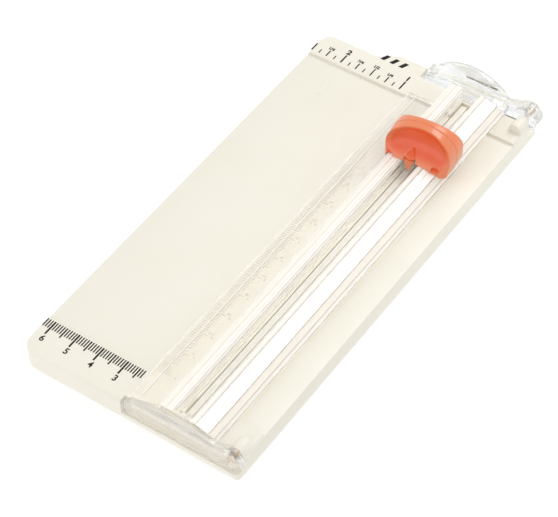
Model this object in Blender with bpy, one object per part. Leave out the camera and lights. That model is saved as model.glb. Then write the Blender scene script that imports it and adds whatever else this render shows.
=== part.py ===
"""Rotary paper trimmer: a cream base, a clear hinged arm and a coral carriage with a round blade.

Blender 4.5, metres, +Z up. The origin is on the table under the middle of the object.
X runs across the base, Y along it from the near end to the far end.
The arm lifts from the left about the hinge axis, which lies along Y on the right.
"""
import math

import bmesh
import bpy
from mathutils import Matrix, Vector

MM = 0.001

# Base
BASE_LEFT = -44.6 * MM
BASE_RIGHT = 42.6 * MM
BASE_NEAR = -92.1 * MM
BASE_FAR = 92.1 * MM
BASE_FAR_LEFT = 87.5 * MM        # the far edge steps back on the left
FAR_CURVE_LEFT = -23.6 * MM      # the S curve of the far edge starts here
FAR_CURVE_RIGHT = -13.6 * MM
FOOT_HEIGHT = 0.6 * MM           # what the feet show below the base
RIM_Z = 9.9 * MM                 # top of the raised ends
BED_Z = RIM_Z - 1.2 * MM         # top of the paper bed
BED_NEAR = -77.2 * MM
BED_FAR = 75.2 * MM              # the bed is 152.4 mm (6 in) long
TOP_FILLET = 1.2 * MM
CORNER_NEAR_LEFT = 6.0 * MM
CORNER_FAR_LEFT = 4.5 * MM
CORNER_RIGHT = 1.6 * MM

# Underside bays between the ribs
BAY_CEILING = RIM_Z - 3.2 * MM
BAY_NEAR = -85.8 * MM
BAY_FAR = 82.2 * MM
BAY_ROWS = 4
RIB = 2.0 * MM
BAY_COLUMNS = ((-42.6 * MM, -15.6 * MM), (-13.6 * MM, 13.4 * MM), (25.4 * MM, 40.8 * MM))

# Cutting line, groove and strip
CUT_X = 19.4 * MM
GROOVE_HALF = 3.0 * MM
GROOVE_NEAR = -86.8 * MM
GROOVE_FAR = 83.2 * MM
GROOVE_FLOOR = RIM_Z - 3.0 * MM
KERF_HALF = 0.5 * MM
KERF_DEPTH = 0.8 * MM

# Hinge
HINGE_X = 39.9 * MM
HINGE_Z = RIM_Z + 0.9 * MM
KNUCKLE_R = 4.7 * MM
BOSS_R = 2.4 * MM
PIN_R = 1.2 * MM
BORE_R = 1.45 * MM
NEAR_BOSS = (-89.4 * MM, -83.4 * MM)
FAR_BOSS = (80.2 * MM, 86.2 * MM)

# Notches in the ends of the base for the arm's end bars
NOTCH_LEFT = -3.3 * MM
NOTCH_FLOOR = RIM_Z - 6.2 * MM

# Clear arm
GAP = 0.3 * MM
ARM_Z = RIM_Z + 0.25 * MM        # underside of the rail and its ruler flange
FLANGE_TOP = RIM_Z + 1.8 * MM
RAIL_TOP = RIM_Z + 5.2 * MM
FLANGE_LEFT = CUT_X - 21.3 * MM
RAIL_LEFT = CUT_X - 8.6 * MM
RAIL_RIGHT = CUT_X + 13.1 * MM
RAIL_NEAR = -89.4 * MM
RAIL_FAR = 85.2 * MM
SLOT_HALF = 3.2 * MM
SLOT_NEAR = -87.2 * MM
SLOT_FAR = 83.4 * MM
FLANGE_FAR = BED_FAR + 0.8 * MM  # the flange ends at the bed's far step
TRACK_HALF = 5.6 * MM
TRACK_FLOOR = RIM_Z + 1.4 * MM
TRACK_CEILING = RIM_Z + 3.7 * MM
BAR_BOTTOM = RIM_Z - 5.6 * MM
NEAR_BAR = (-92.1 * MM, -89.7 * MM)
FAR_BAR = (88.5 * MM, 92.1 * MM)
FAR_KNUCKLE_NEAR = 86.6 * MM
SHELF_NEAR = 85.5 * MM
ARCH_PLATE_NEAR = 90.3 * MM
ARCH_X = CUT_X - 4.0 * MM
ARCH_R = 20.3 * MM
ARCH_TOP = RIM_Z + 9.8 * MM

# Carriage
CARRIAGE_Y = 50.7 * MM           # where the carriage is parked
KNOB_X = CUT_X + 1.25 * MM
KNOB_HALF_WIDTH = 12.7 * MM
KNOB_FOOT_HALF = 12.0 * MM       # half the width at the bottom of the legs
KNOB_HALF_LENGTH = 8.2 * MM
KNOB_BOTTOM = RIM_Z + 3.0 * MM
KNOB_SHOULDER = RIM_Z + 9.2 * MM
KNOB_TOP = RIM_Z + 18.3 * MM
KNOB_TURN = math.radians(5.0)    # the grip stands a little askew to the slot
ARCH_POWER = 2.0                 # 2 makes the arch an ellipse
PLAN_HALF = 13.7 * MM            # where the rounded ends of the plan would close
LIP_Z = RIM_Z + 5.1 * MM
DISH_FALL = 4.8 * MM             # how fast the dish falls back above the lip
FIN_HALF = 1.5 * MM
EAR_HOLE_X = 9.0 * MM
EAR_HOLE_MIDDLE = -1.0 * MM       # the pair of ear holes stands a little to the left
EAR_HOLE_Z = RIM_Z + 5.8 * MM
EAR_HOLE_R = 1.5 * MM
EAR_HOLE_FLATNESS = 0.72         # height over width
SHOE_Z = RAIL_TOP + 0.4 * MM
SHOE_TOP = SHOE_Z + 1.0 * MM
SHOE_HALF_X = 9.0 * MM
SHOE_HALF_Y = 5.5 * MM
SCREW_X = 7.4 * MM
SPRING_X = 4.2 * MM
RUNNER_HALF_Y = 4.8 * MM

# Blade and cradle
BLADE_R = 5.0 * MM
BLADE_HALF = 0.2 * MM
BLADE_Z = RIM_Z + 3.5 * MM
BUSH_R = 1.5 * MM
BLADE_BORE = 1.65 * MM
AXLE_R = 0.8 * MM
AXLE_BORE = 0.95 * MM
CRADLE_HALF_Y = 2.0 * MM
ARM_OF_CRADLE_Z = RIM_Z + 7.2 * MM
ARM_OF_CRADLE_TOP = RIM_Z + 8.0 * MM
YOKE_Z = RIM_Z + 8.8 * MM
YOKE_TOP = RIM_Z + 9.7 * MM

ROUND = 24                       # sides of a round piece


def clear_scene():
    for item in list(bpy.data.objects):
        bpy.data.objects.remove(item, do_unlink=True)


def material(name, colour, roughness, metallic=0.0, transmission=0.0):
    """A Principled material in the piece's own colour."""
    made = bpy.data.materials.new(name)
    made.use_nodes = True
    shader = made.node_tree.nodes["Principled BSDF"]
    shader.inputs["Base Color"].default_value = (*colour, 1.0)
    shader.inputs["Roughness"].default_value = roughness
    shader.inputs["Metallic"].default_value = metallic
    shader.inputs["Transmission Weight"].default_value = transmission
    return made


def add_object(name, mesh):
    item = bpy.data.objects.new(name, mesh)
    bpy.context.scene.collection.objects.link(item)
    return item


def finish_bmesh(shape, name):
    bmesh.ops.recalc_face_normals(shape, faces=shape.faces)
    mesh = bpy.data.meshes.new(name)
    shape.to_mesh(mesh)
    shape.free()
    return add_object(name, mesh)


def prism(name, outline, start, end, axis="Y"):
    """Extrude a closed outline from start to end along axis.

    The outline's points are (x, z) for axis Y, (x, y) for axis Z and (y, z) for axis X.
    """
    places = {
        "X": lambda a, b, along: (along, a, b),
        "Y": lambda a, b, along: (a, along, b),
        "Z": lambda a, b, along: (a, b, along),
    }
    place = places[axis]
    shape = bmesh.new()
    ring = [shape.verts.new(place(a, b, start)) for a, b in outline]
    face = shape.faces.new(ring)
    grown = bmesh.ops.extrude_face_region(shape, geom=[face])
    moved = [part for part in grown["geom"] if isinstance(part, bmesh.types.BMVert)]
    bmesh.ops.translate(shape, verts=moved, vec=Vector(place(0.0, 0.0, end - start)))
    return finish_bmesh(shape, name)


def box(name, low, high):
    outline = [(low[0], low[1]), (high[0], low[1]), (high[0], high[1]), (low[0], high[1])]
    return prism(name, outline, low[2], high[2], axis="Z")


def circle(centre_a, centre_b, radius, sides=ROUND):
    turn = 2 * math.pi / sides
    return [
        (centre_a + radius * math.cos(turn * i), centre_b + radius * math.sin(turn * i))
        for i in range(sides)
    ]


def arc(centre_a, centre_b, radius, first, last, steps):
    """Points of an arc from the first to the last angle, in degrees."""
    angles = [math.radians(first + (last - first) * i / steps) for i in range(steps + 1)]
    return [(centre_a + radius * math.cos(t), centre_b + radius * math.sin(t)) for t in angles]


def modify(item, other, operation):
    """Cut other out of item, or join it to item, and keep other as a hidden guide."""
    step = item.modifiers.new(operation.title(), "BOOLEAN")
    step.operation = operation
    step.object = other
    step.solver = "EXACT"
    other.hide_render = True
    other.display_type = "WIRE"


def cut(item, *cutters):
    for cutter in cutters:
        modify(item, cutter, "DIFFERENCE")


def join(item, *additions):
    for addition in additions:
        modify(item, addition, "UNION")


class Body:
    """A group of nodes that move together about one pivot."""

    def __init__(self, name, pivot, parent=None):
        self.pivot = Vector(pivot)
        self.empty = bpy.data.objects.new(name + "_pivot", None)
        bpy.context.scene.collection.objects.link(self.empty)
        self.empty.empty_display_size = 0.005
        self.empty.parent = parent.empty if parent else None
        self.empty.location = self.pivot - (parent.pivot if parent else Vector())

    def take(self, item, finish, smooth=False):
        """Put a node on this body: its origin moves to the pivot, its shape stays."""
        item.data.transform(Matrix.Translation(-self.pivot))
        item.parent = self.empty
        item.data.materials.append(finish)
        if smooth:
            item.data.shade_smooth()
            item.data.set_sharp_from_angle(angle=math.radians(35))
        return item


def smooth_step(value):
    held = min(max(value, 0.0), 1.0)
    return held * held * (3 - 2 * held)


# ---------------------------------------------------------------- base

def base_outline():
    """The base from above, counter-clockwise from its near-right corner."""
    points = []
    points += arc(BASE_RIGHT - CORNER_RIGHT, BASE_NEAR + CORNER_RIGHT, CORNER_RIGHT, -90, 0, 4)
    points += arc(BASE_RIGHT - CORNER_RIGHT, BASE_FAR - CORNER_RIGHT, CORNER_RIGHT, 0, 90, 4)
    steps = 8
    for i in range(steps + 1):
        share = i / steps
        x = FAR_CURVE_RIGHT + (FAR_CURVE_LEFT - FAR_CURVE_RIGHT) * share
        y = BASE_FAR + (BASE_FAR_LEFT - BASE_FAR) * smooth_step(share)
        points.append((x, y))
    points += arc(BASE_LEFT + CORNER_FAR_LEFT, BASE_FAR_LEFT - CORNER_FAR_LEFT,
                  CORNER_FAR_LEFT, 90, 180, 6)
    points += arc(BASE_LEFT + CORNER_NEAR_LEFT, BASE_NEAR + CORNER_NEAR_LEFT,
                  CORNER_NEAR_LEFT, 180, 270, 6)
    return points


def bay_boxes():
    """The hollows of the underside, as (low, high) corners."""
    pitch = (BAY_FAR - BAY_NEAR + RIB) / BAY_ROWS
    for row in range(BAY_ROWS):
        near = BAY_NEAR + row * pitch
        for left, right in BAY_COLUMNS:
            yield (left, near, -1 * MM), (right, near + pitch - RIB, BAY_CEILING)


def foot_places():
    near_y = BASE_NEAR + 3.6 * MM
    left_x = BASE_LEFT + 14 * MM
    right_x = BASE_RIGHT - 12 * MM
    return {
        "foot_near_left": (left_x, near_y),
        "foot_near_right": (right_x, near_y),
        "foot_far_left": (left_x, BASE_FAR_LEFT - 2.8 * MM),
        "foot_far_right": (right_x, BASE_FAR - 4.4 * MM),
    }


def stadium(centre, half_length, radius):
    """A rounded bar seen from above."""
    x, y = centre
    reach = half_length - radius
    return arc(x + reach, y, radius, -90, 90, 8) + arc(x - reach, y, radius, 90, 270, 8)


def hinge_boss(name, start, end):
    """A boss with a domed inner end, sunk into the raised end of the base."""
    bottom = RIM_Z - 1.5 * MM
    outline = arc(HINGE_X, HINGE_Z, BOSS_R, 0, 180, 12)
    outline += [(HINGE_X - BOSS_R, bottom), (HINGE_X + BOSS_R, bottom)]
    return prism(name, outline, start, end)


def make_base(body, cream):
    base = prism("base_tray", base_outline(), FOOT_HEIGHT, RIM_Z, axis="Z")
    soften = base.modifiers.new("Edge", "BEVEL")
    soften.width = TOP_FILLET
    soften.segments = 2
    soften.limit_method = "ANGLE"
    soften.angle_limit = math.radians(60)

    beyond = 6 * MM
    cut(base, box("bed_cutter", (BASE_LEFT - beyond, BED_NEAR, BED_Z),
                  (BASE_RIGHT + beyond, BED_FAR, RIM_Z + beyond)))
    cut(base, box("groove_cutter", (CUT_X - GROOVE_HALF, GROOVE_NEAR, GROOVE_FLOOR),
                  (CUT_X + GROOVE_HALF, GROOVE_FAR, RIM_Z + beyond)))
    cut(base, box("near_notch_cutter", (NOTCH_LEFT, BASE_NEAR - beyond, NOTCH_FLOOR),
                  (BASE_RIGHT + beyond, NEAR_BAR[1] + GAP, RIM_Z + beyond)))
    cut(base, box("far_notch_cutter", (NOTCH_LEFT, FAR_KNUCKLE_NEAR - GAP, NOTCH_FLOOR),
                  (BASE_RIGHT + beyond, BASE_FAR + beyond, RIM_Z + beyond)))
    for index, (low, high) in enumerate(bay_boxes()):
        cut(base, box("bay_cutter_%d" % index, low, high))
    for name, place in foot_places().items():
        cut(base, prism(name + "_seat", stadium(place, 8.3 * MM, 2.3 * MM),
                        0, FOOT_HEIGHT + 1.0 * MM, axis="Z"))
    join(base, hinge_boss("near_boss", *NEAR_BOSS), hinge_boss("far_boss", *FAR_BOSS))
    bore = circle(HINGE_X, HINGE_Z, BORE_R)
    cut(base, prism("near_bore_cutter", bore, NEAR_BOSS[0] - beyond, NEAR_BOSS[1] - 1 * MM))
    cut(base, prism("far_bore_cutter", bore, FAR_BOSS[0] + 1 * MM, FAR_BOSS[1] + beyond))
    body.take(base, cream)


def make_strip(body, finish):
    half = GROOVE_HALF - GAP
    kerf_floor = BED_Z - KERF_DEPTH
    outline = [
        (CUT_X - half, GROOVE_FLOOR + GAP), (CUT_X + half, GROOVE_FLOOR + GAP),
        (CUT_X + half, BED_Z), (CUT_X + KERF_HALF, BED_Z),
        (CUT_X + KERF_HALF, kerf_floor), (CUT_X - KERF_HALF, kerf_floor),
        (CUT_X - KERF_HALF, BED_Z), (CUT_X - half, BED_Z),
    ]
    body.take(prism("cutting_strip", outline, GROOVE_NEAR + GAP, GROOVE_FAR - GAP), finish)


def make_feet(body, rubber):
    for name, place in foot_places().items():
        outline = stadium(place, 8.0 * MM, 2.0 * MM)
        foot = prism(name, outline, 0, FOOT_HEIGHT + 0.7 * MM, axis="Z")
        body.take(foot, rubber, smooth=True)


def make_hinge_pins(body, steel):
    inset = 0.3 * MM
    reach = 1.3 * MM
    outline = circle(HINGE_X, HINGE_Z, PIN_R)
    near = prism("hinge_pin_near", outline, NEAR_BAR[0] + inset, NEAR_BOSS[1] - reach)
    far = prism("hinge_pin_far", outline, FAR_BOSS[0] + reach, FAR_BAR[1] - inset)
    body.take(near, steel, smooth=True)
    body.take(far, steel, smooth=True)


# ---------------------------------------------------------------- arm

def rail_outline(grow=0.0):
    """The rail's outer section (x, z), grown outwards where a neighbour has to clear it."""
    left, right, top = RAIL_LEFT - grow, RAIL_RIGHT + grow, RAIL_TOP + grow
    return [
        (FLANGE_LEFT - grow, ARM_Z - grow),
        (right, ARM_Z - grow),
        (right, RIM_Z + 0.9 * MM + grow),
        (CUT_X + 10.2 * MM + grow, RIM_Z + 3.5 * MM + grow),
        (CUT_X + 7.7 * MM + grow, RIM_Z + 4.3 * MM + grow),
        (CUT_X + 5.6 * MM + grow / 2, top),
        (left, top),
        (left, FLANGE_TOP + grow),
        (FLANGE_LEFT + 1.2 * MM, FLANGE_TOP + grow),
        (FLANGE_LEFT - grow, RIM_Z + 1.0 * MM + grow),
    ]


def make_rail(body, clear):
    rail = prism("clear_rail", rail_outline(), RAIL_NEAR, RAIL_FAR)
    over = 4 * MM
    slot = box("slot_cutter", (CUT_X - SLOT_HALF, SLOT_NEAR, ARM_Z - over),
               (CUT_X + SLOT_HALF, SLOT_FAR, RAIL_TOP + over))
    track = box("track_cutter", (CUT_X - TRACK_HALF, SLOT_NEAR, TRACK_FLOOR),
                (CUT_X + TRACK_HALF, SLOT_FAR, TRACK_CEILING))
    flange_end = box("flange_end_cutter", (FLANGE_LEFT - over, FLANGE_FAR, ARM_Z - over),
                     (RAIL_LEFT, RAIL_FAR + over, RAIL_TOP + over))
    cut(rail, slot, track, flange_end)
    body.take(rail, clear)


def bar_outline(top_points):
    """An end bar seen along Y: a long low bar with the hinge knuckle at its right end."""
    left = CUT_X - 22.0 * MM
    corner = 2.4 * MM
    points = arc(left + corner, BAR_BOTTOM + corner, corner, 180, 270, 5)
    points.append((HINGE_X - 7.5 * MM, BAR_BOTTOM))
    points += arc(HINGE_X, HINGE_Z, KNUCKLE_R, -110, 110, 14)
    points += top_points
    points.append((left, RIM_Z - 0.2 * MM))
    return points


def make_near_bracket(body, clear):
    top = [
        (RAIL_RIGHT, RIM_Z + 3.0 * MM),
        (CUT_X + 5.6 * MM, RAIL_TOP),
        (RAIL_LEFT, RAIL_TOP),
        (CUT_X - 15.0 * MM, RIM_Z + 3.2 * MM),
        (CUT_X - 20.0 * MM, RIM_Z + 1.6 * MM),
    ]
    bracket = prism("near_bracket", bar_outline(top), *NEAR_BAR)
    cut(bracket, prism("near_knuckle_cutter", circle(HINGE_X, HINGE_Z, BORE_R),
                       NEAR_BAR[0] - MM, NEAR_BAR[1] + MM))
    body.take(bracket, clear)


def make_far_bracket(body, clear):
    level = RIM_Z + 3.0 * MM
    left = CUT_X - 20.5 * MM
    bracket = prism("far_bracket", bar_outline([(RAIL_RIGHT, level), (left, level)]), *FAR_BAR)
    shelf = box("shelf_part", (left, SHELF_NEAR, ARM_Z), (RAIL_RIGHT, FAR_BAR[1] - MM, level))
    centre_z = ARCH_TOP - ARCH_R
    spread = math.degrees(math.acos((RIM_Z + 1.3 * MM - centre_z) / ARCH_R))
    arch = prism("arch_part", arc(ARCH_X, centre_z, ARCH_R, 90 - spread, 90 + spread, 20),
                 ARCH_PLATE_NEAR, FAR_BAR[1])
    knuckle = prism("far_knuckle_part", circle(HINGE_X, HINGE_Z, KNUCKLE_R, 36),
                    FAR_KNUCKLE_NEAR, FAR_BAR[1] - 0.5 * MM)
    join(bracket, shelf, arch, knuckle)
    cut(bracket, prism("far_knuckle_cutter", circle(HINGE_X, HINGE_Z, BORE_R),
                       FAR_KNUCKLE_NEAR - MM, FAR_BAR[1] + MM))
    body.take(bracket, clear)


# ---------------------------------------------------------------- knob

def knob_arch():
    """The knob's outline seen along Y, from its right foot over the top to its left foot.

    Each point is (x, z, height share), where the share is 0 on the legs and 1 at the top.
    """
    legs = []
    leg_steps = 4
    for i in range(leg_steps):
        share = i / leg_steps
        half = KNOB_HALF_WIDTH - (KNOB_HALF_WIDTH - KNOB_FOOT_HALF) * (1 - share) ** 1.5
        legs.append((half, KNOB_BOTTOM + (KNOB_SHOULDER - KNOB_BOTTOM) * share, 0.0))
    points = list(legs)
    steps = 16
    for i in range(steps + 1):
        turn = math.pi * i / steps
        across = abs(math.cos(turn)) ** (2 / ARCH_POWER) * math.copysign(1, math.cos(turn))
        rise = abs(math.sin(turn)) ** (2 / ARCH_POWER)
        z = KNOB_SHOULDER + (KNOB_TOP - KNOB_SHOULDER) * rise
        points.append((KNOB_HALF_WIDTH * across, z, rise))
    points += [(-half, z, 0.0) for half, z, _ in reversed(legs)]
    return points


def rim_half_width(z, share):
    """How far the rim of a dish stands from the knob's middle plane."""
    at_shoulder = 5.4 * MM
    at_top = 2.5 * MM
    if share > 0:
        return at_shoulder + (at_top - at_shoulder) * share ** 1.6
    drop = smooth_step((z - LIP_Z) / (KNOB_SHOULDER - LIP_Z))
    return KNOB_HALF_LENGTH + (at_shoulder - KNOB_HALF_LENGTH) * drop


def dish_half_width(z):
    """Half the knob's thickness in the middle of its dishes: a thin fin on a broad lip."""
    above = max(z - LIP_Z, 0.0) / DISH_FALL
    return FIN_HALF + (KNOB_HALF_LENGTH - FIN_HALF) * math.exp(-above ** 1.7)


def plan_limit(x):
    """How far the knob may reach along Y at x, so that its plan has rounded corners."""
    return KNOB_HALF_LENGTH * math.sqrt(max(1 - abs(x / PLAN_HALF) ** 8, 0.0))


def knob_profile(x, z, share):
    """The knob's section from its front dish over one point of the arch to its back dish."""
    rim_y = min(rim_half_width(z, share), plan_limit(x))
    inset = (0.4 - 0.15 * share) * MM
    length = math.hypot(x, z - KNOB_BOTTOM)
    inward = 1 - inset / length
    band = [(0.0, 0.0), (0.55, 0.12), (0.85, 0.45), (1.0, 1.0)]
    rim_x, rim_z = x * inward, KNOB_BOTTOM + (z - KNOB_BOTTOM) * inward
    half = []
    for out, into in band:
        scale = 1 - (1 - inward) * into
        half.append((x * scale, rim_y * out, KNOB_BOTTOM + (z - KNOB_BOTTOM) * scale))
    for ring in (0.93, 0.85, 0.72, 0.55, 0.35):
        ring_x = rim_x * ring
        ring_z = KNOB_BOTTOM + (rim_z - KNOB_BOTTOM) * ring
        middle = dish_half_width(ring_z)
        reach = min(middle + (rim_y - middle) * ring ** 6, plan_limit(ring_x))
        half.append((ring_x, reach, ring_z))
    front = [(px, -py, pz) for px, py, pz in reversed(half[1:])]
    return front + half


def knob_place():
    """From the knob's own axes to the part's: turned a little, and moved to its place."""
    return Matrix.Translation((KNOB_X, CARRIAGE_Y, 0)) @ Matrix.Rotation(KNOB_TURN, 4, "Z")


def knob_solid(name):
    """The knob's closed outer shape before it is hollowed."""
    shape = bmesh.new()
    front_foot = shape.verts.new((0, -KNOB_HALF_LENGTH, KNOB_BOTTOM))
    back_foot = shape.verts.new((0, KNOB_HALF_LENGTH, KNOB_BOTTOM))
    columns = []
    for x, z, share in knob_arch():
        column = [shape.verts.new(point) for point in knob_profile(x, z, share)]
        columns.append([front_foot] + column + [back_foot])
    for left, right in zip(columns, columns[1:]):
        for i in range(len(left) - 1):
            corners = [left[i], left[i + 1], right[i + 1], right[i]]
            shape.faces.new(list(dict.fromkeys(corners)))
    bottom = columns[0] + list(reversed(columns[-1]))[1:-1]
    shape.faces.new(bottom)
    bmesh.ops.triangulate(shape, faces=shape.faces)
    solid = finish_bmesh(shape, name)
    solid.data.transform(knob_place())
    return solid


def knob_cavity(name):
    """The room for the blade and its cradle inside the knob, narrowing upwards."""
    steps = [(6.0, 6.6), (4.2, 8.2), (3.1, 9.4), (2.3, 10.6), (1.6, 11.3)]
    right = [(CARRIAGE_Y + y * MM, RIM_Z + z * MM) for y, z in steps]
    left = [(2 * CARRIAGE_Y - y, z) for y, z in reversed(right)]
    low = KNOB_BOTTOM - MM
    outline = [(left[-1][0], low), (right[0][0], low)] + right + left
    return prism(name, outline, CUT_X - 5.8 * MM, CUT_X + 5.8 * MM, axis="X")


def ear_hole_outline(across):
    return [(x, EAR_HOLE_Z + (z - EAR_HOLE_Z) * EAR_HOLE_FLATNESS)
            for x, z in circle(across, EAR_HOLE_Z, EAR_HOLE_R)]


def make_knob(body, coral):
    knob = knob_solid("knob_shell")
    ends = (CARRIAGE_Y - 20 * MM, CARRIAGE_Y + 20 * MM)
    cut(knob, prism("rail_clearance", rail_outline(grow=0.35 * MM), *ends))
    cut(knob, knob_cavity("cavity_cutter"))
    room = GAP
    cut(knob, box("shoe_pocket",
                  (CUT_X - SHOE_HALF_X - room, CARRIAGE_Y - SHOE_HALF_Y - room, RIM_Z),
                  (CUT_X + SHOE_HALF_X + room, CARRIAGE_Y + SHOE_HALF_Y + room, SHOE_TOP + room)))
    for side, label in ((-1, "front"), (1, "back")):
        outside = side * (KNOB_HALF_LENGTH + 2 * MM)
        inside = side * (KNOB_HALF_LENGTH - 1.2 * MM)
        start = CARRIAGE_Y + outside
        cut(knob, box("pointer_window_" + label,
                      (CUT_X - 2.2 * MM, min(start, CARRIAGE_Y), RIM_Z),
                      (CUT_X + 2.2 * MM, max(start, CARRIAGE_Y), RIM_Z + 7.0 * MM)))
        for across in (EAR_HOLE_MIDDLE - EAR_HOLE_X, EAR_HOLE_MIDDLE + EAR_HOLE_X):
            hole = prism("ear_hole_%s_%+d" % (label, round(across / MM)),
                         ear_hole_outline(across),
                         min(outside, inside), max(outside, inside))
            hole.data.transform(knob_place())
            cut(knob, hole)
    for side in (-1, 1):
        pilot = circle(CUT_X + side * SCREW_X, CARRIAGE_Y, 0.85 * MM, 16)
        cut(knob, prism("pilot_%+d" % side, pilot, RIM_Z, RIM_Z + 10.3 * MM, axis="Z"))
    body.take(knob, coral, smooth=True)


def make_shoe(body, coral):
    """The plate between knob and rail, with a V pointer hanging into the slot at each end."""
    shoe = box("slide_shoe",
               (CUT_X - SHOE_HALF_X, CARRIAGE_Y - SHOE_HALF_Y, SHOE_Z),
               (CUT_X + SHOE_HALF_X, CARRIAGE_Y + SHOE_HALF_Y, SHOE_TOP))
    window = 3.1 * MM
    cut(shoe, box("shoe_window", (CUT_X - window, CARRIAGE_Y - RUNNER_HALF_Y - GAP, SHOE_Z - MM),
                  (CUT_X + window, CARRIAGE_Y + RUNNER_HALF_Y + GAP, SHOE_TOP + MM)))
    pointer = [(0, 8.9), (1.7, 6.6), (1.5, 5.0), (0, 1.3), (-1.5, 5.0), (-1.7, 6.6)]
    outline = [(CUT_X + x * MM, RIM_Z + z * MM) for x, z in pointer]
    for side, label in ((-1, "front"), (1, "back")):
        inner = CARRIAGE_Y + side * (SHOE_HALF_Y - 0.3 * MM)
        outer = CARRIAGE_Y + side * (KNOB_HALF_LENGTH + 0.2 * MM)
        face = CARRIAGE_Y + side * (KNOB_HALF_LENGTH - 0.6 * MM)
        tongue = box("tongue_" + label, (CUT_X - 1.2 * MM, min(inner, outer), SHOE_Z),
                     (CUT_X + 1.2 * MM, max(inner, outer) - 0.1 * MM, SHOE_TOP))
        low_pointer = [(x, min(z, RIM_Z + 6.7 * MM)) for x, z in outline]
        tip = prism("pointer_" + label, low_pointer, min(face, outer), max(face, outer))
        join(shoe, tongue, tip)
    for side in (-1, 1):
        x = CUT_X + side * SCREW_X
        cut(shoe, prism("shoe_hole_%+d" % side, circle(x, CARRIAGE_Y, 0.85 * MM, 16),
                        SHOE_Z - MM, SHOE_TOP + MM, axis="Z"))
        cut(shoe, prism("shoe_counterbore_%+d" % side, circle(x, CARRIAGE_Y, 1.3 * MM, 16),
                        SHOE_Z - MM, SHOE_Z + 0.6 * MM, axis="Z"))
    body.take(shoe, coral)


def turned(name, centre, profile, sides=16):
    """A closed turned piece about a vertical axis, from (radius, z) points, bottom to top."""
    shape = bmesh.new()
    rings = []
    for radius, z in profile:
        ring = []
        for x, y in circle(centre[0], centre[1], radius, sides):
            ring.append(shape.verts.new((x, y, z)))
        rings.append(ring)
    for lower, upper in zip(rings, rings[1:]):
        for i in range(sides):
            follow = (i + 1) % sides
            shape.faces.new((lower[i], lower[follow], upper[follow], upper[i]))
    shape.faces.new(list(reversed(rings[0])))
    shape.faces.new(rings[-1])
    return finish_bmesh(shape, name)


def make_shoe_screws(body, steel):
    bottom = SHOE_Z + 0.1 * MM
    profile = [
        (0.95 * MM, bottom), (0.95 * MM, bottom + 0.35 * MM),
        (0.6 * MM, bottom + 0.35 * MM), (0.6 * MM, RIM_Z + 9.7 * MM),
        (0.25 * MM, RIM_Z + 10.0 * MM),
    ]
    for side, label in ((-1, "left"), (1, "right")):
        centre = (CUT_X + side * SCREW_X, CARRIAGE_Y)
        body.take(turned("shoe_screw_" + label, centre, profile), steel, smooth=True)


def make_runners(body, acetal):
    """L-shaped runners: a neck in the slot and a foot in the track."""
    section = [
        (1.9, 1.8), (5.2, 1.8), (5.2, 3.3), (2.8, 3.3), (2.8, 6.6), (1.9, 6.6),
    ]
    for side, label in ((-1, "left"), (1, "right")):
        outline = [(CUT_X + side * x * MM, RIM_Z + z * MM) for x, z in section]
        runner = prism("runner_" + label, outline,
                       CARRIAGE_Y - RUNNER_HALF_Y, CARRIAGE_Y + RUNNER_HALF_Y)
        body.take(runner, acetal)


def coil(name, centre, bottom, top, radius, wire, turns, sides=6, per_turn=12):
    """A coil spring as one closed tube along a helix."""
    shape = bmesh.new()
    count = int(turns * per_turn)
    rise = (top - bottom - 2 * wire) / count
    rings = []
    for i in range(count + 1):
        turn = 2 * math.pi * i / per_turn
        outward = Vector((math.cos(turn), math.sin(turn), 0))
        middle = Vector((centre[0], centre[1], bottom + wire + rise * i)) + outward * radius
        ring = []
        for j in range(sides):
            around = 2 * math.pi * j / sides
            offset = outward * math.cos(around) + Vector((0, 0, math.sin(around)))
            ring.append(shape.verts.new(middle + offset * wire))
        rings.append(ring)
    for first, second in zip(rings, rings[1:]):
        for j in range(sides):
            follow = (j + 1) % sides
            shape.faces.new((first[j], first[follow], second[follow], second[j]))
    shape.faces.new(list(reversed(rings[0])))
    shape.faces.new(rings[-1])
    return finish_bmesh(shape, name)


def make_springs(body, steel):
    bottom = ARM_OF_CRADLE_TOP + 0.1 * MM
    top = RIM_Z + 11.0 * MM
    for side, label in ((-1, "left"), (1, "right")):
        centre = (CUT_X + side * SPRING_X, CARRIAGE_Y)
        spring = coil("spring_" + label, centre, bottom, top, 1.0 * MM, 0.2 * MM, 3.5)
        body.take(spring, steel, smooth=True)


# ---------------------------------------------------------------- blade

def make_cradle(body, steel):
    """The fork over the blade: two cheeks, a yoke and an arm under each spring."""
    half = [
        (5.4, ARM_OF_CRADLE_Z), (5.4, ARM_OF_CRADLE_TOP), (1.6, ARM_OF_CRADLE_TOP),
        (1.6, YOKE_TOP),
    ]
    inside = 0.9
    low = RIM_Z + 1.2 * MM
    right = [(inside, low), (1.6, low), (1.6, ARM_OF_CRADLE_Z)] + half
    outline = [(CUT_X + x * MM, z) for x, z in right]
    outline += [(CUT_X - x * MM, z) for x, z in reversed(right)]
    outline += [(CUT_X - inside * MM, YOKE_Z), (CUT_X + inside * MM, YOKE_Z)]
    cradle = prism("blade_cradle", outline,
                   CARRIAGE_Y - CRADLE_HALF_Y, CARRIAGE_Y + CRADLE_HALF_Y)
    cut(cradle, prism("axle_bore_cutter", circle(CARRIAGE_Y, BLADE_Z, AXLE_BORE, 16),
                      CUT_X - 3 * MM, CUT_X + 3 * MM, axis="X"))
    body.take(cradle, steel)


def make_axle(body, steel):
    axle = prism("blade_axle", circle(CARRIAGE_Y, BLADE_Z, AXLE_R, 16),
                 CUT_X - 1.55 * MM, CUT_X + 1.55 * MM, axis="X")
    body.take(axle, steel, smooth=True)


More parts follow.
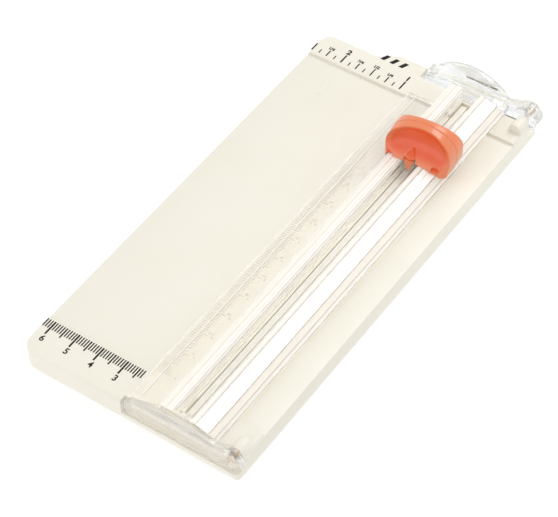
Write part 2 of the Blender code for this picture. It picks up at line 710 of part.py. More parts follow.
def make_blade(body, blade_steel, bronze):
    """A disc ground to an edge from both sides, and the bush it turns on."""
    blade = prism("rotary_blade", circle(CARRIAGE_Y, BLADE_Z, BLADE_R, 48),
                  CUT_X - BLADE_HALF, CUT_X + BLADE_HALF, axis="X")
    cut(blade, prism("blade_bore_cutter", circle(CARRIAGE_Y, BLADE_Z, BLADE_BORE),
                     CUT_X - MM, CUT_X + MM, axis="X"))
    body.take(blade, blade_steel, smooth=True)
    bush = prism("blade_bush", circle(CARRIAGE_Y, BLADE_Z, BUSH_R),
                 CUT_X - 0.6 * MM, CUT_X + 0.6 * MM, axis="X")
    cut(bush, prism("bush_bore_cutter", circle(CARRIAGE_Y, BLADE_Z, AXLE_BORE, 16),
                    CUT_X - MM, CUT_X + MM, axis="X"))
    body.take(bush, bronze, smooth=True)


def main():
    clear_scene()
    cream = material("cream_plastic", (0.87, 0.84, 0.76), 0.42)
    strip = material("strip_plastic", (0.80, 0.78, 0.72), 0.55)
    rubber = material("grey_rubber", (0.55, 0.55, 0.54), 0.85)
    steel = material("steel", (0.62, 0.62, 0.63), 0.28, metallic=1.0)
    blade_steel = material("blade_steel", (0.72, 0.73, 0.75), 0.18, metallic=1.0)
    clear = material("clear_polystyrene", (0.96, 0.95, 0.92), 0.05, transmission=1.0)
    coral = material("coral_plastic", (0.85, 0.17, 0.08), 0.25)
    acetal = material("acetal", (0.86, 0.85, 0.82), 0.35)
    bronze = material("bronze", (0.60, 0.42, 0.22), 0.35, metallic=1.0)

    base = Body("base", (0, 0, 0))
    arm = Body("arm", (HINGE_X, 0, HINGE_Z))
    carriage = Body("carriage", (CUT_X, CARRIAGE_Y, RAIL_TOP), parent=arm)
    cradle = Body("cradle", (CUT_X, CARRIAGE_Y, BLADE_Z), parent=carriage)
    blade = Body("blade", (CUT_X, CARRIAGE_Y, BLADE_Z), parent=cradle)

    make_base(base, cream)
    make_strip(base, strip)
    make_feet(base, rubber)
    make_hinge_pins(base, steel)

    make_rail(arm, clear)
    make_near_bracket(arm, clear)
    make_far_bracket(arm, clear)

    make_knob(carriage, coral)
    make_shoe(carriage, coral)
    make_runners(carriage, acetal)
    make_shoe_screws(carriage, steel)
    make_springs(carriage, steel)

    make_cradle(cradle, steel)
    make_axle(cradle, steel)
    make_blade(blade, blade_steel, bronze)


main()
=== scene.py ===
"""Looks of the rotary paper trimmer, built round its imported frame.

The frame gives every place and size. Metres, +Z up, X across the base, Y along it.
"""
import math

import bmesh
import bpy
from mathutils import Matrix, Vector


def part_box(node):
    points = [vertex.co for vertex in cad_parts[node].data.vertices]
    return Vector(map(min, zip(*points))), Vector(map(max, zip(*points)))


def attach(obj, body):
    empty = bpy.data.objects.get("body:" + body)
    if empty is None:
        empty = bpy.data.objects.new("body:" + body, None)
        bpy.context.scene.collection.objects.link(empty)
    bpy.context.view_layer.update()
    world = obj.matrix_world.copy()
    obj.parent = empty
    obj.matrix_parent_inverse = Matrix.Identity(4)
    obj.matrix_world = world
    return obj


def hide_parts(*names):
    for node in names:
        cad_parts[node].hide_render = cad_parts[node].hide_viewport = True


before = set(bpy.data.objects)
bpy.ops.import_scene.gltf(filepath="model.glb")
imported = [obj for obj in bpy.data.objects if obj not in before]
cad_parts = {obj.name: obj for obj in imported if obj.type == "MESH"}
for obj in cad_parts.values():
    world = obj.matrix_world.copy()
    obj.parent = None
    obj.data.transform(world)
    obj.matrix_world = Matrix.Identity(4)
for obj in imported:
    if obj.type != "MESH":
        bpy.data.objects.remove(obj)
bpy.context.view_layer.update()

MM = 0.001

# ---------------------------------------------------------------- places from the frame

BASE_LOW, BASE_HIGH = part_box("base_tray")
STRIP_LOW, STRIP_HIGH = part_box("cutting_strip")
RAIL_LOW, RAIL_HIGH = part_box("clear_rail")
NEAR_LOW, NEAR_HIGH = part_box("near_bracket")
FAR_LOW, FAR_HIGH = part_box("far_bracket")
PIN_LOW, PIN_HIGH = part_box("hinge_pin_near")
KNOB_LOW, KNOB_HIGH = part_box("knob_shell")
SHOE_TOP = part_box("slide_shoe")[1].z

CUT_X = (STRIP_LOW.x + STRIP_HIGH.x) / 2
BED_Z = STRIP_HIGH.z
RIM_Z = RAIL_LOW.z - 0.25 * MM
BED_NEAR = -77.2 * MM
BED_FAR = 75.2 * MM
HINGE_X = (PIN_LOW.x + PIN_HIGH.x) / 2
HINGE_Z = (PIN_LOW.z + PIN_HIGH.z) / 2
CARRIAGE_Y = (KNOB_LOW.y + KNOB_HIGH.y) / 2
KNOB_X = CUT_X + 1.25 * MM
NOTCH_LEFT = NEAR_LOW.x - 0.7 * MM
NOTCH_FLOOR = NEAR_LOW.z - 0.6 * MM
GAP = 0.3 * MM

# Base
TOP_FILLET = 1.5 * MM
CORNER_NEAR_LEFT = 6.0 * MM
CORNER_FAR_LEFT = 4.5 * MM
CORNER_RIGHT = 1.6 * MM
FAR_STEP = 4.6 * MM              # the far edge steps back on the left by this
FAR_CURVE_LEFT = CUT_X - 43.0 * MM
FAR_CURVE_RIGHT = CUT_X - 33.0 * MM
BAY_CEILING = RIM_Z - 3.2 * MM
BAY_RIB = 2.0 * MM
BAY_ROWS = 4
BAY_COLUMNS = ((-42.6 * MM, -15.6 * MM), (-13.6 * MM, 13.4 * MM), (25.4 * MM, 40.8 * MM))
BAY_CORNER = 1.2 * MM
FEET = ("foot_near_left", "foot_near_right", "foot_far_left", "foot_far_right")

# Hinge
BOSS_R = 2.4 * MM
BOSS_LENGTH = 6.0 * MM
KNUCKLE_R = 4.7 * MM
KNUCKLE_NEAR = FAR_HIGH.y - 5.5 * MM
BORE_R = 1.45 * MM

# Arm
SLOT_HALF = 3.2 * MM
TRACK_HALF = 5.6 * MM
TRACK_FLOOR = RIM_Z + 1.4 * MM
TRACK_CEILING = RIM_Z + 3.7 * MM
SLOT_NEAR = RAIL_LOW.y + 2.2 * MM
SLOT_FAR = RAIL_HIGH.y - 1.8 * MM
FLANGE_TOP = RIM_Z + 1.8 * MM
FLANGE_FAR = BED_FAR + 0.8 * MM  # the flange ends at the bed's far step
RAIL_LEFT = CUT_X - 8.6 * MM
# The corners of the rail's falling right side, in mm from the cutting line and above the rim
RAIL_SLOPE = [(5.6, 5.2), (7.7, 4.3), (10.2, 3.5), (13.1, 0.9)]
SCALE_LEFT = CUT_X - 20.1 * MM
SCALE_RIGHT = CUT_X - 17.3 * MM
SCALE_DEPTH = 0.25 * MM
ARCH_X = CUT_X - 4.0 * MM
ARCH_R = 20.3 * MM
ARCH_CENTRE_Z = FAR_HIGH.z - ARCH_R

# Knob
KNOB_HALF_WIDTH = 12.7 * MM
KNOB_FOOT_HALF = 12.0 * MM
KNOB_HALF_LENGTH = 8.2 * MM
KNOB_SHOULDER = RIM_Z + 9.2 * MM
KNOB_TURN = math.radians(5.0)    # the grip stands a little askew to the slot
ARCH_POWER = 2.0                 # 2 makes the arch an ellipse
PLAN_HALF = 13.7 * MM            # where the rounded ends of the plan would close
LIP_Z = RIM_Z + 5.1 * MM
DISH_FALL = 4.8 * MM             # how fast the dish falls back above the lip
FIN_HALF = 1.5 * MM
EAR_HOLE_X = 9.0 * MM
EAR_HOLE_MIDDLE = -1.0 * MM      # the pair of ear holes stands a little to the left
EAR_HOLE_Z = RIM_Z + 5.8 * MM
EAR_HOLE_R = 1.5 * MM
EAR_HOLE_FLATNESS = 0.72         # height over width
EAR_HOLE_DEPTH = 1.3 * MM
SHOE_HALF_X = 9.0 * MM
SHOE_HALF_Y = 5.5 * MM
SCREW_X = 7.4 * MM
PILOT_R = 0.85 * MM
CAVITY_HALF_X = 5.8 * MM
RAIL_CLEARANCE = 0.35 * MM

# Camera
CAMERA_PLACE = (0.28698, -0.39979, 0.54671)
CAMERA_ANGLES = [math.radians(angle) for angle in (36.25, 48.33, -2.062)]
CAMERA_LENS = 138.2

# Printed rulers
PRINT_LIFT = 0.005 * MM
PRINT_THICK = 0.03 * MM
INCH = 25.4 * MM


# ---------------------------------------------------------------- mesh helpers

def link(name, mesh):
    item = bpy.data.objects.new(name, mesh)
    bpy.context.scene.collection.objects.link(item)
    return item


def from_bmesh(name, shape):
    bmesh.ops.recalc_face_normals(shape, faces=shape.faces)
    mesh = bpy.data.meshes.new(name)
    shape.to_mesh(mesh)
    shape.free()
    return link(name, mesh)


def prism(name, outline, start, end, axis="Y"):
    """Extrude a closed outline along axis: (x, z) for Y, (x, y) for Z and (y, z) for X."""
    places = {
        "X": lambda a, b, along: (along, a, b),
        "Y": lambda a, b, along: (a, along, b),
        "Z": lambda a, b, along: (a, b, along),
    }
    place = places[axis]
    shape = bmesh.new()
    ring = [shape.verts.new(place(a, b, start)) for a, b in outline]
    face = shape.faces.new(ring)
    grown = bmesh.ops.extrude_face_region(shape, geom=[face])
    moved = [part for part in grown["geom"] if isinstance(part, bmesh.types.BMVert)]
    bmesh.ops.translate(shape, verts=moved, vec=Vector(place(0.0, 0.0, end - start)))
    return from_bmesh(name, shape)


def box(name, low, high):
    outline = [(low[0], low[1]), (high[0], low[1]), (high[0], high[1]), (low[0], high[1])]
    return prism(name, outline, low[2], high[2], axis="Z")


def arc(centre_a, centre_b, radius, first, last, steps):
    """Points of an arc from the first to the last angle, in degrees."""
    angles = [math.radians(first + (last - first) * i / steps) for i in range(steps + 1)]
    return [(centre_a + radius * math.cos(t), centre_b + radius * math.sin(t)) for t in angles]


def circle(centre_a, centre_b, radius, sides=48):
    return arc(centre_a, centre_b, radius, 0, 360 - 360 / sides, sides - 1)


def stadium(centre, half_length, radius, steps=16):
    reach = half_length - radius
    right = arc(centre[0] + reach, centre[1], radius, -90, 90, steps)
    return right + arc(centre[0] - reach, centre[1], radius, 90, 270, steps)


def rounded_rectangle(low, high, radius, steps=5):
    points = arc(high[0] - radius, low[1] + radius, radius, -90, 0, steps)
    points += arc(high[0] - radius, high[1] - radius, radius, 0, 90, steps)
    points += arc(low[0] + radius, high[1] - radius, radius, 90, 180, steps)
    points += arc(low[0] + radius, low[1] + radius, radius, 180, 270, steps)
    return points


def smooth_step(value):
    held = min(max(value, 0.0), 1.0)
    return held * held * (3 - 2 * held)


def settle(item):
    """Apply an object's modifiers to its mesh."""
    graph = bpy.context.evaluated_depsgraph_get()
    made = bpy.data.meshes.new_from_object(item.evaluated_get(graph))
    item.modifiers.clear()
    item.data = made


def combine(item, others, operation):
    """Cut the other objects out of item, or join them to it, and remove them."""
    for other in others:
        step = item.modifiers.new(operation.title(), "BOOLEAN")
        step.operation = operation
        step.object = other
        step.solver = "EXACT"
    settle(item)
    for other in others:
        bpy.data.objects.remove(other, do_unlink=True)


def gather(name, items):
    """One mesh object from several, without any union."""
    shape = bmesh.new()
    for item in items:
        shape.from_mesh(item.data)
        bpy.data.objects.remove(item, do_unlink=True)
    mesh = bpy.data.meshes.new(name)
    shape.to_mesh(mesh)
    shape.free()
    return link(name, mesh)


def soften(item, width, segments=2, angle=40, clamp=False):
    """Round an object's sharp edges with real geometry."""
    step = item.modifiers.new("Edges", "BEVEL")
    step.width = width
    step.segments = segments
    step.limit_method = "ANGLE"
    step.angle_limit = math.radians(angle)
    step.use_clamp_overlap = clamp
    settle(item)


def shade(item, angle=35):
    item.data.shade_smooth()
    item.data.set_sharp_from_angle(angle=math.radians(angle))


def weld(item):
    """Remove the slivers and needless edges that the cuts leave."""
    distance = 0.002 * MM
    shape = bmesh.new()
    shape.from_mesh(item.data)
    bmesh.ops.remove_doubles(shape, verts=shape.verts, dist=distance)
    bmesh.ops.dissolve_degenerate(shape, dist=distance, edges=shape.edges)
    bmesh.ops.dissolve_limit(shape, angle_limit=math.radians(0.3), verts=shape.verts,
                             edges=shape.edges)
    shape.to_mesh(item.data)
    shape.free()


def finish_piece(item, material, body, stands_for=()):
    """Give a piece its material, its body and the frame's node that it replaces."""
    item.data.materials.clear()
    item.data.materials.append(material)
    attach(item, body)
    if stands_for:
        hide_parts(*stands_for)


# ---------------------------------------------------------------- materials

class Finish:
    """A Principled material whose colour, roughness and relief come from procedural nodes."""

    def __init__(self, name, **values):
        self.material = bpy.data.materials.new(name)
        self.material.use_nodes = True
        self.nodes = self.material.node_tree.nodes
        self.links = self.material.node_tree.links
        self.shader = self.nodes["Principled BSDF"]
        self.place = self.nodes.new("ShaderNodeTexCoord").outputs["Object"]
        for socket, value in values.items():
            self.shader.inputs[socket.replace("_", " ")].default_value = value

    def noise(self, size, detail=2.0, stretch=(1, 1, 1), rough=0.5):
        """Noise whose grains are about size metres across, longer where stretch is above 1."""
        mapping = self.nodes.new("ShaderNodeMapping")
        mapping.inputs["Scale"].default_value = [1 / (size * s) for s in stretch]
        texture = self.nodes.new("ShaderNodeTexNoise")
        texture.inputs["Scale"].default_value = 1.0
        texture.inputs["Detail"].default_value = detail
        texture.inputs["Roughness"].default_value = rough
        self.links.new(self.place, mapping.inputs["Vector"])
        self.links.new(mapping.outputs["Vector"], texture.inputs["Vector"])
        return texture.outputs["Fac"]

    def spread(self, value, low, high, start=0.3, end=0.7):
        """Stretch the value's stretch from start to end over low to high."""
        node = self.nodes.new("ShaderNodeMapRange")
        node.inputs["From Min"].default_value = start
        node.inputs["From Max"].default_value = end
        node.inputs["To Min"].default_value = low
        node.inputs["To Max"].default_value = high
        self.links.new(value, node.inputs["Value"])
        return node.outputs["Result"]

    def math(self, operation, first, second):
        node = self.nodes.new("ShaderNodeMath")
        node.operation = operation
        for socket, value in zip(node.inputs, (first, second)):
            if isinstance(value, (int, float)):
                socket.default_value = value
            else:
                self.links.new(value, socket)
        return node.outputs[0]

    def hypotenuse(self, first, second):
        squares = [self.math("MULTIPLY", side, side) for side in (first, second)]
        return self.math("SQRT", self.math("ADD", *squares), 0.0)

    def colour(self, factor, first, second):
        node = self.nodes.new("ShaderNodeMix")
        node.data_type = "RGBA"
        node.inputs[6].default_value = (*first, 1.0)
        node.inputs[7].default_value = (*second, 1.0)
        self.links.new(factor, node.inputs[0])
        self.links.new(node.outputs[2], self.shader.inputs["Base Color"])

    def roughness(self, value):
        self.links.new(value, self.shader.inputs["Roughness"])

    def bump(self, height, depth, strength=1.0):
        node = self.nodes.new("ShaderNodeBump")
        node.inputs["Distance"].default_value = depth
        node.inputs["Strength"].default_value = strength
        self.links.new(height, node.inputs["Height"])
        self.links.new(node.outputs["Normal"], self.shader.inputs["Normal"])

    def let_shadow_rays_through(self, tint):
        """Let this share of lamp light through each surface, so that the shadow stays soft."""
        through = self.nodes.new("ShaderNodeBsdfTransparent")
        through.inputs["Color"].default_value = (*tint, 1.0)
        path = self.nodes.new("ShaderNodeLightPath")
        mix = self.nodes.new("ShaderNodeMixShader")
        self.links.new(path.outputs["Is Shadow Ray"], mix.inputs[0])
        self.links.new(self.shader.outputs[0], mix.inputs[1])
        self.links.new(through.outputs[0], mix.inputs[2])
        self.links.new(mix.outputs[0], self.nodes["Material Output"].inputs["Surface"])


def moulded_plastic(name, light, dark, rough=(0.34, 0.48)):
    """Opaque moulded plastic: faint clouding, fine spark-eroded grain and soft scuffs."""
    made = Finish(name, IOR=1.5)
    cloud = made.noise(22 * MM, detail=3)
    made.colour(made.spread(cloud, 0.0, 1.0), light, dark)
    fine = made.noise(0.12 * MM, detail=3, rough=0.6)
    scuff = made.noise(0.5 * MM, detail=2, stretch=(18, 1.0, 1.0))
    made.roughness(made.spread(made.math("MULTIPLY", scuff, cloud), *rough, 0.15, 0.4))
    made.bump(made.math("ADD", fine, made.math("MULTIPLY", scuff, 0.35)), 0.004 * MM)
    return made.material


def coral_plastic():
    """Glossy coral plastic with painted shade: darker inside the dishes and in the ear holes, paler
    on the broad lip and round the outline.
    """
    made = Finish("coral_plastic_look", IOR=1.48, Coat_Weight=0.3, Coat_Roughness=0.06)
    made.shader.inputs["Subsurface Weight"].default_value = 0.12
    made.shader.inputs["Subsurface Radius"].default_value = (0.004, 0.001, 0.0005)
    made.shader.inputs["Subsurface Scale"].default_value = 0.4
    split = made.nodes.new("ShaderNodeSeparateXYZ")
    made.links.new(made.place, split.inputs[0])
    turned = made.math("MULTIPLY", made.math("SUBTRACT", split.outputs["Y"], CARRIAGE_Y),
                       math.tan(KNOB_TURN))
    sideways = made.math("ADD", made.math("SUBTRACT", split.outputs["X"], KNOB_X), turned)
    across = made.math("DIVIDE", sideways, KNOB_HALF_WIDTH)
    rise = made.math("DIVIDE", made.math("SUBTRACT", split.outputs["Z"], KNOB_SHOULDER),
                     KNOB_HIGH.z - KNOB_SHOULDER)
    # Painted shade: the dishes are coloured darker inside the arch and above the lip; the cloud adds
    # random tone.
    inside = made.spread(made.hypotenuse(across, rise), 1.0, 0.0, 0.80, 0.93)
    above = made.spread(split.outputs["Z"], 0.0, 1.0, LIP_Z + 0.6 * MM, LIP_Z + 3.2 * MM)
    cloud = made.spread(made.noise(6 * MM, detail=3), -0.12, 0.12)
    depth = made.math("ADD", made.math("MULTIPLY", inside, above), cloud)
    # Painted shade in each ear hole, nearly as dark as the dishes.
    for side in (-1, 1):
        aside = made.math("SUBTRACT", sideways, EAR_HOLE_MIDDLE + side * EAR_HOLE_X)
        higher = made.math("DIVIDE", made.math("SUBTRACT", split.outputs["Z"], EAR_HOLE_Z),
                           EAR_HOLE_FLATNESS)
        hole = made.spread(made.hypotenuse(aside, higher), 0.9, 0.0,
                           EAR_HOLE_R - 0.3 * MM, EAR_HOLE_R + 0.1 * MM)
        depth = made.math("MAXIMUM", depth, hole)
    # First the paler coral of the lip and the outline, then the darker painted shade of the dishes
    # and the holes.
    made.colour(depth, (0.75, 0.220, 0.092), (0.74, 0.083, 0.010))
    fine = made.noise(0.35 * MM, detail=2)
    made.roughness(made.spread(fine, 0.26, 0.34))
    made.bump(fine, 0.003 * MM, 0.6)
    made.let_shadow_rays_through((0.80, 0.73, 0.69))
    return made.material


def clear_plastic(name, tint, rough, solid, relief=0.004 * MM):
    """Clear polystyrene with flow marks and hairline scuffs, which lets lamp light through.

    The real moulding is thin-walled, so only a share of the light, solid, is bent as in glass.
    """
    made = Finish(name, IOR=1.45, Transmission_Weight=1.0, Alpha=solid, Coat_Weight=0.5)
    made.shader.inputs["Base Color"].default_value = (*tint, 1.0)
    flow = made.noise(9 * MM, detail=2, stretch=(1, 4, 1))
    scuff = made.noise(0.25 * MM, detail=2, stretch=(1, 30, 1))
    made.roughness(made.spread(scuff, *rough))
    made.bump(made.math("ADD", flow, made.math("MULTIPLY", scuff, 0.03)), relief, 0.5)
    made.let_shadow_rays_through((0.98, 0.977, 0.97))
    return made.material


def painted_line(name, light, dark, solid):
    """Painted highlight or painted shade: a thin line coloured light or dark, standing on the clear
    plastic where it glints or shows a dark line.
    """
    made = Finish(name, IOR=1.5, Alpha=solid)
    broken = made.noise(1.2 * MM, detail=2, stretch=(1, 8, 1))
    made.colour(made.spread(broken, 0.0, 1.0), light, dark)
    made.roughness(made.spread(broken, 0.15, 0.3))
    made.let_shadow_rays_through((0.96, 0.95, 0.93))
    return made.material


def metal(name, light, dark, rough, stretch=(1, 1, 1)):
    """Metal with faint stains, and with fine lines along the axis that stretch makes long."""
    made = Finish(name, Metallic=1.0)
    lines = made.noise(0.08 * MM, detail=3, stretch=stretch)
    stain = made.noise(2.5 * MM, detail=3)
    made.colour(made.spread(stain, 0.0, 1.0), light, dark)
    made.roughness(made.spread(lines, *rough))
    made.bump(lines, 0.003 * MM, 0.8)
    return made.material


def rubber():
    """Grainy grey rubber with a little dust."""
    made = Finish("grey_rubber_look", IOR=1.45)
    grain = made.noise(0.2 * MM, detail=4, rough=0.7)
    dust = made.noise(3 * MM, detail=4)
    made.colour(made.spread(dust, 0.0, 1.0), (0.50, 0.50, 0.49), (0.58, 0.58, 0.56))
    made.roughness(made.spread(dust, 0.75, 0.95))
    made.bump(grain, 0.02 * MM, 0.7)
    return made.material


def ink():
    """Screen-printed black, a little patchy where the screen's mesh shows."""
    made = Finish("ink_look", IOR=1.35)
    mesh = made.noise(0.06 * MM, detail=1)
    patch = made.noise(0.8 * MM, detail=3)
    made.colour(made.spread(patch, 0.0, 1.0), (0.004, 0.004, 0.004), (0.010, 0.009, 0.009))
    made.roughness(made.spread(mesh, 0.35, 0.55))
    made.bump(mesh, 0.004 * MM, 0.5)
    return made.material


CREAM = moulded_plastic("cream_plastic_look", (0.815, 0.785, 0.690), (0.795, 0.765, 0.665))
STRIP = moulded_plastic("strip_plastic_look", (0.86, 0.84, 0.78), (0.83, 0.81, 0.75), (0.45, 0.6))
ACETAL = moulded_plastic("acetal_look", (0.84, 0.83, 0.80), (0.80, 0.79, 0.75), (0.28, 0.4))
CORAL = coral_plastic()
CLEAR = clear_plastic("clear_polystyrene_look", (0.97, 0.96, 0.95), (0.03, 0.045), 0.62,
                      0.0004 * MM)
# Copies of the clear plastic: the near bar's warm tint paints in the cream base seen through it, and
# the far end's cooler, darker tint is painted shade.
NEAR_CLEAR = clear_plastic("clear_near_bar_look", (0.96, 0.93, 0.89), (0.01, 0.04), 0.62)
FAR_CLEAR = clear_plastic("clear_far_end_look", (0.90, 0.925, 0.94), (0.01, 0.035), 0.75)
FROSTED = clear_plastic("clear_scale_look", (0.80, 0.74, 0.69), (0.25, 0.4), 0.75)
# Painted highlights: bright lines and bands on the clear parts where they glint.
PAINTED_GLINT = painted_line("painted_glint_line_look", (0.97, 0.96, 0.95), (0.90, 0.89, 0.87), 0.8)
# Painted shade: dark lines on the clear parts where the moulding shows dark lines.
PAINTED_DARK_LINE = painted_line("painted_dark_line_look", (0.46, 0.39, 0.32), (0.58, 0.51, 0.44), 0.55)
# Painted light: pale bands on the rail's slopes.
PAINTED_LIGHT_BAND = painted_line("painted_light_band_look", (0.98, 0.945, 0.89), (0.96, 0.92, 0.86), 0.6)
SHADE = painted_line("joint_shade_look", (0.26, 0.21, 0.17), (0.40, 0.34, 0.28), 0.6)
# Painted shade: a dark line round the edge of the arch.
ARCH_EDGE_SHADE = painted_line("arch_edge_shade_look", (0.42, 0.45, 0.50), (0.52, 0.55, 0.60), 0.55)
STEEL = metal("steel_look", (0.62, 0.62, 0.63), (0.52, 0.52, 0.54), (0.2, 0.38), (1, 1, 14))
PIN = metal("pin_look", (0.74, 0.62, 0.46), (0.64, 0.52, 0.37), (0.18, 0.32), (1, 12, 1))
BRONZE = metal("bronze_look", (0.60, 0.42, 0.22), (0.48, 0.33, 0.17), (0.3, 0.5))
BLADE = metal("blade_look", (0.74, 0.75, 0.77), (0.64, 0.65, 0.68), (0.12, 0.24), (4, 1, 1))
RUBBER = rubber()
INK = ink()


# ---------------------------------------------------------------- base

def base_outline():
    """The base from above, counter-clockwise from its near-right corner."""
    left, right, near, far = BASE_LOW.x, BASE_HIGH.x, BASE_LOW.y, BASE_HIGH.y
    points = arc(right - CORNER_RIGHT, near + CORNER_RIGHT, CORNER_RIGHT, -90, 0, 6)
    points += arc(right - CORNER_RIGHT, far - CORNER_RIGHT, CORNER_RIGHT, 0, 90, 6)
    steps = 16
    for i in range(steps + 1):
        share = i / steps
        x = FAR_CURVE_RIGHT + (FAR_CURVE_LEFT - FAR_CURVE_RIGHT) * share
        points.append((x, far - FAR_STEP * smooth_step(share)))
    points += arc(left + CORNER_FAR_LEFT, far - FAR_STEP - CORNER_FAR_LEFT,
                  CORNER_FAR_LEFT, 90, 180, 10)
    points += arc(left + CORNER_NEAR_LEFT, near + CORNER_NEAR_LEFT,
                  CORNER_NEAR_LEFT, 180, 270, 12)
    return points


def bay_cutters():
    """The hollows of the underside between its ribs."""
    near = BASE_LOW.y + 6.3 * MM
    pitch = (BASE_HIGH.y - 9.9 * MM - near + BAY_RIB) / BAY_ROWS
    for row in range(BAY_ROWS):
        start = near + row * pitch
        for left, right in BAY_COLUMNS:
            outline = rounded_rectangle((left, start), (right, start + pitch - BAY_RIB), BAY_CORNER)
            yield prism("bay", outline, -1 * MM, BAY_CEILING, axis="Z")


def hinge_boss(start, end):
    """A boss from start to end along Y that carries a hinge pin."""
    outline = arc(HINGE_X, HINGE_Z, BOSS_R, 0, 180, 24)
    bottom = RIM_Z - 1.5 * MM
    outline += [(HINGE_X - BOSS_R, bottom), (HINGE_X + BOSS_R, bottom)]
    return prism("boss", outline, start, end)


def make_base():
    base = prism("base_shell", base_outline(), BASE_LOW.z, RIM_Z, axis="Z")
    soften(base, TOP_FILLET, segments=6, angle=60)
    beyond = 6 * MM
    low_x, high_x = BASE_LOW.x - beyond, BASE_HIGH.x + beyond
    cutters = [
        box("bed", (low_x, BED_NEAR, BED_Z), (high_x, BED_FAR, RIM_Z + beyond)),
        box("groove", (STRIP_LOW.x - GAP, STRIP_LOW.y - GAP, STRIP_LOW.z - GAP),
            (STRIP_HIGH.x + GAP, STRIP_HIGH.y + GAP, RIM_Z + beyond)),
        box("near_notch", (NOTCH_LEFT, BASE_LOW.y - beyond, NOTCH_FLOOR),
            (high_x, NEAR_HIGH.y + GAP, RIM_Z + beyond)),
        box("far_notch", (NOTCH_LEFT, KNUCKLE_NEAR - GAP, NOTCH_FLOOR),
            (high_x, BASE_HIGH.y + beyond, RIM_Z + beyond)),
    ]
    cutters += bay_cutters()
    for foot in FEET:
        low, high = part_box(foot)
        middle = ((low.x + high.x) / 2, (low.y + high.y) / 2)
        half = (high.x - low.x) / 2 + GAP
        wide = (high.y - low.y) / 2 + GAP
        cutters.append(prism("seat", stadium(middle, half, wide), 0, high.z + GAP, axis="Z"))
    combine(base, cutters, "DIFFERENCE")
    near_boss = (NEAR_HIGH.y + GAP, NEAR_HIGH.y + GAP + BOSS_LENGTH)
    far_boss = (KNUCKLE_NEAR - 0.4 * MM - BOSS_LENGTH, KNUCKLE_NEAR - 0.4 * MM)
    combine(base, [hinge_boss(*near_boss), hinge_boss(*far_boss)], "UNION")
    bore = circle(HINGE_X, HINGE_Z, BORE_R)
    combine(base, [
        prism("near_bore", bore, near_boss[0] - beyond, near_boss[1] - 1 * MM),
        prism("far_bore", bore, far_boss[0] + 1 * MM, far_boss[1] + beyond),
    ], "DIFFERENCE")
    weld(base)
    soften(base, 0.22 * MM, segments=2, angle=50)
    shade(base)
    finish_piece(base, CREAM, "base", ["base_tray"])


# ---------------------------------------------------------------- print and marks

def glyphs(text, size, centre, z, thick, weight):
    """Raised characters as a mesh object, centred on a point of the XY plane."""
    curve = bpy.data.curves.new("glyphs", "FONT")
    curve.body = text
    curve.align_x = "CENTER"
    curve.align_y = "CENTER"
    curve.offset = weight
    curve.extrude = 0.5 * thick / size
    source = link("glyphs", curve)
    graph = bpy.context.evaluated_depsgraph_get()
    mesh = bpy.data.meshes.new_from_object(source.evaluated_get(graph))
    bpy.data.objects.remove(source, do_unlink=True)
    mesh.transform(Matrix.Translation((*centre, z + thick / 2)) @ Matrix.Scale(size, 4))
    return link("glyph_mesh", mesh)


def tick(x, start, end, width, z, thick):
    near, far = min(start, end), max(start, end)
    return box("tick", (x - width / 2, near, z), (x + width / 2, far, z + thick))


def make_near_ruler():
    """Centimetres from the cutting line, printed on the near rim."""
    z = RIM_Z + PRINT_LIFT
    top = BED_NEAR - 0.6 * MM
    parts = []
    for step in range(23, 64):
        length, width = 3.4, 0.47
        if step % 10 == 0:
            length, width = 5.9, 0.68
        elif step % 5 == 0:
            length, width = 4.6, 0.56
        parts.append(tick(CUT_X - step * MM, top, top - length * MM, width * MM, z, PRINT_THICK))
        if step % 10 == 0:
            place = (CUT_X - (step - 0.4) * MM, top - 7.9 * MM)
            parts.append(glyphs(str(step // 10), 3.4 * MM, place, z, PRINT_THICK, 0.026))
    finish_piece(gather("near_ruler_print", parts), INK, "base")


def make_far_ruler():
    """Eighths of an inch from the cutting line, printed on the far rim."""
    z = RIM_Z + PRINT_LIFT
    bottom = BED_FAR + 1.4 * MM
    labels = {8: "1", 10: "1/4", 12: "1/2", 14: "3/4", 16: "2", 18: "1/4"}
    parts = []
    for step in range(8, 21):
        x = CUT_X - step * INCH / 8
        length, width = 2.0, 0.42
        if step % 8 == 0:
            length, width = 4.4, 0.6
        elif step % 4 == 0:
            length, width = 4.0, 0.5
        elif step % 2 == 0:
            length, width = 3.2, 0.5
        parts.append(tick(x, bottom, bottom + length * MM, width * MM, z, PRINT_THICK))
        if step in labels:
            whole = len(labels[step]) == 1
            size, aside, above, weight = (3.3, 0.0, 1.6, 0.045) if whole else (1.9, 0.2, 1.0, 0.05)
            place = (x - aside * MM, bottom + (length + above) * MM)
            parts.append(glyphs(labels[step], size * MM, place, z, PRINT_THICK, weight))
    finish_piece(gather("far_ruler_print", parts), INK, "base")


def make_far_rim_mark():
    """Three plain slanted bars printed on the far rim."""
    z = RIM_Z + PRINT_LIFT
    near, far, lean, half = 86.3 * MM, 89.2 * MM, 1.3 * MM, 1.5 * MM
    parts = []
    for middle in (-38.3, -34.4, -30.5):
        x = CUT_X + middle * MM
        outline = [(x - half, near), (x + half - lean, near), (x + half, far), (x - half + lean, far)]
        parts.append(prism("bar", outline, z, z + PRINT_THICK, axis="Z"))
    finish_piece(gather("far_rim_print", parts), INK, "base")


def make_bed_marks():
    """Faint raised guide marks on the bed by its far end."""
    z = BED_Z - 0.01 * MM
    thick = 0.07 * MM
    parts = []
    for step in range(8, 21):
        x = CUT_X - step * INCH / 8
        long = 4.5 if step % 4 == 0 else 2.6
        parts.append(tick(x, BED_FAR - 9 * MM, BED_FAR - (9 + long) * MM, 0.3 * MM, z, thick))
        if step % 4 == 0:
            place = (x + 2.2 * MM, BED_FAR - 15.5 * MM)
            parts.append(glyphs(str(step // 4), 4.6 * MM, place, z, thick, 0.0))
    finish_piece(gather("bed_guide_marks", parts), CREAM, "base")


# ---------------------------------------------------------------- arm

